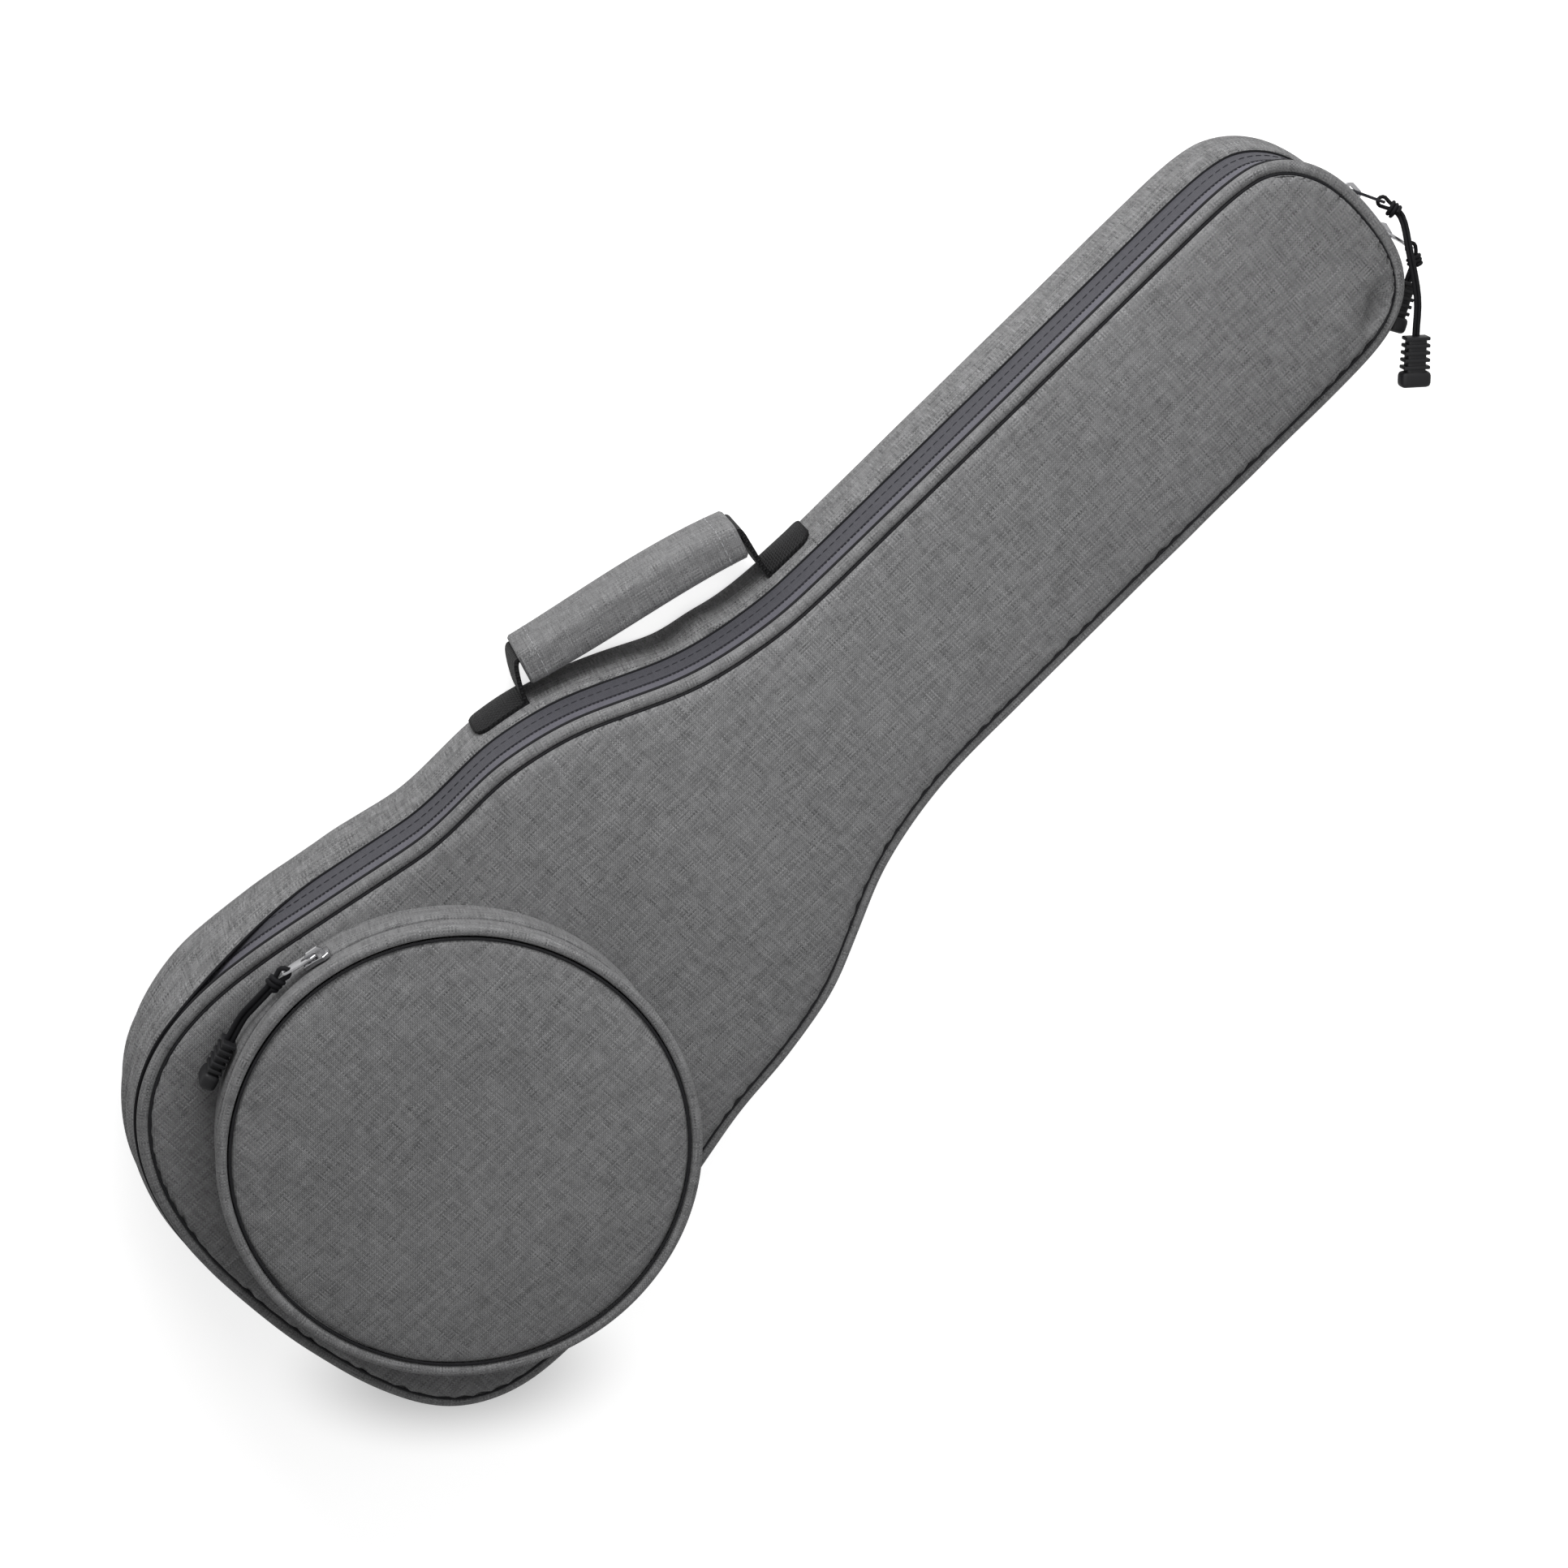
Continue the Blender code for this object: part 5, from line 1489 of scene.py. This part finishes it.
def length_of(points):
    return sum((end - start).length for start, end in zip(points, points[1:]))


def through(points):
    # A smooth line through points: the first and last only steer its ends
    line = []
    for before, start, end, after in zip(points, points[1:], points[2:], points[3:]):
        for step in range(CORD_FINE):
            t = step / CORD_FINE
            line.append(0.5 * (
                2 * start + (end - before) * t + (2 * before - 5 * start + 4 * end - after) * t ** 2
                + (3 * start - before - 3 * end + after) * t ** 3
            ))
    return line + [points[-2]]


def cord_points(eye, route, thick):
    # Down one leg, round the bar of the tab and back down the other leg
    centre = [eye] + [eye + Vector(step) for step in route]
    line = through([centre[0] * 2 - centre[1], *centre, centre[-1] * 2 - centre[-2]])
    loop = TAB_BAR / math.sqrt(2) + TOUCH + thick / 2
    close_in = min(length_of(line) * CLOSE_SHARE, CLOSE_IN)
    legs = ([], [])
    done = 0.0
    for index, point in enumerate(line):
        before, after = line[max(index - 1, 0)], line[min(index + 1, len(line) - 1)]
        done += (point - before).length
        side = UP.cross((after - before).normalized()).normalized()
        spread = loop + (thick / 2 - loop) * float(eased(done / close_in))
        legs[0].append(point + side * spread)
        legs[1].append(point - side * spread)
    start = (line[1] - line[0]).normalized()
    side = UP.cross(start).normalized()
    angles = [math.pi * step / BEND_STEPS for step in range(1, BEND_STEPS)]
    bend = [eye + side * loop * math.cos(angle) - start * loop * math.sin(angle) for angle in angles]
    inwards = (line[-1] - line[-2]).normalized() * CORD_TUCKED
    return [legs[0][-1] + inwards] + legs[0][::-1] + bend + legs[1] + [legs[1][-1] + inwards]


def make_knot(letter, eye, thick):
    first = Vector(CORD_ROUTES[letter][0])
    along = first.normalized()
    side = UP.cross(along).normalized()
    over = along.cross(side)
    points = []
    for step in range(int(KNOT_TURNS * KNOT_FINE) + 1):
        angle = 2 * math.pi * step / KNOT_FINE
        lift = (step / (KNOT_TURNS * KNOT_FINE) - 0.5) * KNOT_TURNS * thick
        spot = eye + along * (min(KNOT_AWAY, first.length) + lift)
        points.append(spot + side * KNOT_SIDE * math.cos(angle) + over * KNOT_UP * math.sin(angle))
    knot = wire("cord_hitch_" + letter, points, thick / 2, 3, CORD_FINISH)
    return dress(knot, "cord_pull_" + letter, "rubber")


def make_cord(letter, grip):
    thick = CORD_THICKS[letter]
    eye = Vector(JOINTS["cord_" + letter + "_swing"]["pos_m"])
    points = cord_points(eye, CORD_ROUTES[letter], thick)
    cord = wire("pull_cord_" + letter, points, thick / 2, 3, CORD_FINISH)
    dress(cord, "cord_pull_" + letter, "rubber", "cord_" + letter)
    make_knot(letter, eye, thick)
    return length_of(points)


print("routes for", len(CORD_ROUTES), "cords")

# %% [markdown]
# A grip is one moulding: a core, five ribs and a foot, united. Its place and its three
# directions are read from the solid that it stands for.

# %% Rubber grips
GRIP_LONG = 0.020
GRIP_CORE = (0.0078, 0.0046, GRIP_LONG - 0.001)
GRIP_FOOT = (0.0120, 0.0064, 0.0062)
RIBS = 5
RIB_SIZE = (0.0096, 0.0056)
RIB_WIDENS = 0.0002


def rounded_block(name, size, round_by, place=(0.0, 0.0, 0.0)):
    bpy.ops.object.select_all(action="DESELECT")
    bpy.ops.mesh.primitive_cube_add(size=1.0, location=(0.0, 0.0, 0.0))
    block = bpy.context.object
    block.name = name
    for vertex in block.data.vertices:
        vertex.co = [share * side + at for share, side, at in zip(vertex.co, size, place)]
    bevel = block.modifiers.new("round", "BEVEL")
    bevel.width = round_by
    bevel.segments = 3
    bpy.ops.object.modifier_apply(modifier="round")
    return block


def joined(main, others):
    # Unites blocks into one solid
    for other in others:
        unite = main.modifiers.new("unite", "BOOLEAN")
        unite.operation = "UNION"
        unite.solver = "EXACT"
        unite.object = other
        pick(main)
        bpy.ops.object.modifier_apply(modifier="unite")
        bpy.data.objects.remove(other)
    return main


def set_in_place(block, ways, centre, finish):
    # Turns a block to three directions, moves it to its place and gives it its finish
    turn = Matrix(ways).transposed().to_4x4()
    block.data.transform(Matrix.Translation(centre) @ turn)
    block.data.materials.clear()
    block.data.materials.append(finish)
    finish_shading(block, 35.0)


def grip_frame(node):
    # The grip's middle and its long and wide directions, from the spread of its solid's points
    points = np.array([vertex.co for vertex in NODES[node].data.vertices])
    ways = np.linalg.svd(points - points.mean(axis=0), full_matrices=False)[2]
    spans = [(points @ way).max() - (points @ way).min() for way in ways]
    ways = [Vector(ways[index]) for index in np.argsort(spans)[::-1]]
    centre = Vector()
    for way in ways:
        reach = points @ np.array(way)
        centre += way * float(reach.max() + reach.min()) / 2
    return centre, ways[0], ways[1]


def make_grip(letter):
    # Local Z runs from the foot up to the cord
    centre, long_way, wide_way = grip_frame("grip_" + letter)
    if (Vector(JOINTS["cord_" + letter + "_swing"]["pos_m"]) - centre).dot(long_way) < 0:
        long_way = -long_way
    half = GRIP_LONG / 2
    pitch = (GRIP_LONG - GRIP_FOOT[2]) / RIBS
    core = rounded_block("rubber_grip_" + letter, GRIP_CORE, round_by=0.0012)
    blocks = []
    for rib in range(RIBS):
        size = (RIB_SIZE[0] + RIB_WIDENS * rib, RIB_SIZE[1], pitch * 0.5)
        level = half - pitch * (rib + 0.45)
        blocks.append(rounded_block("rib", size, round_by=0.0004, place=(0.0, 0.0, level)))
    level = GRIP_FOOT[2] / 2 - half
    blocks.append(rounded_block("foot", GRIP_FOOT, round_by=0.0018, place=(0.0, 0.0, level)))
    grip = joined(core, blocks)
    set_in_place(grip, (wide_way, long_way.cross(wide_way), long_way), centre, RUBBER)
    return dress(grip, "cord_pull_" + letter, "rubber", "grip_" + letter)


for letter in CORD_ROUTES:
    reach = make_cord(letter, make_grip(letter))
    print("cord", letter, "of", round(reach * 1000, 1), "mm")

# %% [markdown]
# A zipper ends in a stop, a clip of plated sheet pinched over the tape below the last turn of the
# coil. At the tail the cloth bulges past the frame, so that stop is made again on the moved tape.

# %% Zipper stop at the tail
STOP_SIZE = (0.0046, 0.0014, 0.0020)
STOP_EAR = (0.0012, 0.0020, 0.0024)
EAR_AWAY = 0.0015


def make_stop():
    low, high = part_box("zipper_stop_tail")
    middle = (low + high) / 2
    step = int(np.argmin(np.hypot(OUTLINE[:, 0] - middle.x, OUTLINE[:, 1] - middle.y)))
    out = Vector((*OUT[step], 0.0))
    places = [(side * EAR_AWAY, 0.0, 0.0) for side in (-1, 1)]
    ears = [rounded_block("ear", STOP_EAR, round_by=0.0003, place=place) for place in places]
    clip = joined(rounded_block("zipper_stop_clip", STOP_SIZE, round_by=0.0004), ears)
    place = Vector((*(OUTLINE[step] + OUT[step] * COIL_SHIFT), middle.z))
    set_in_place(clip, (Vector((out.y, -out.x, 0.0)), out, UP), place, NICKEL)
    dress(clip, "back_shell", "nickel", "zipper_stop_tail")
    return (place - middle).length


print("the stop moved out by", round(make_stop() * 1000, 1), "mm")

# %% [markdown]
# Last, the pieces that stay as they are in the frame get their finishes: plated metal on the
# sliders, tabs and the zipper's other stop.

# %% Finishes of the carried-over pieces
METAL_NODES = {"tab_a": GUNMETAL}
for name in ("slider_a", "slider_b", "slider_pocket", "tab_b", "tab_pocket", "zipper_stop_head"):
    METAL_NODES[name] = NICKEL
for name, finish in METAL_NODES.items():
    NODES[name].data.materials.clear()
    NODES[name].data.materials.append(finish)
print(len(METAL_NODES), "metal pieces finished")
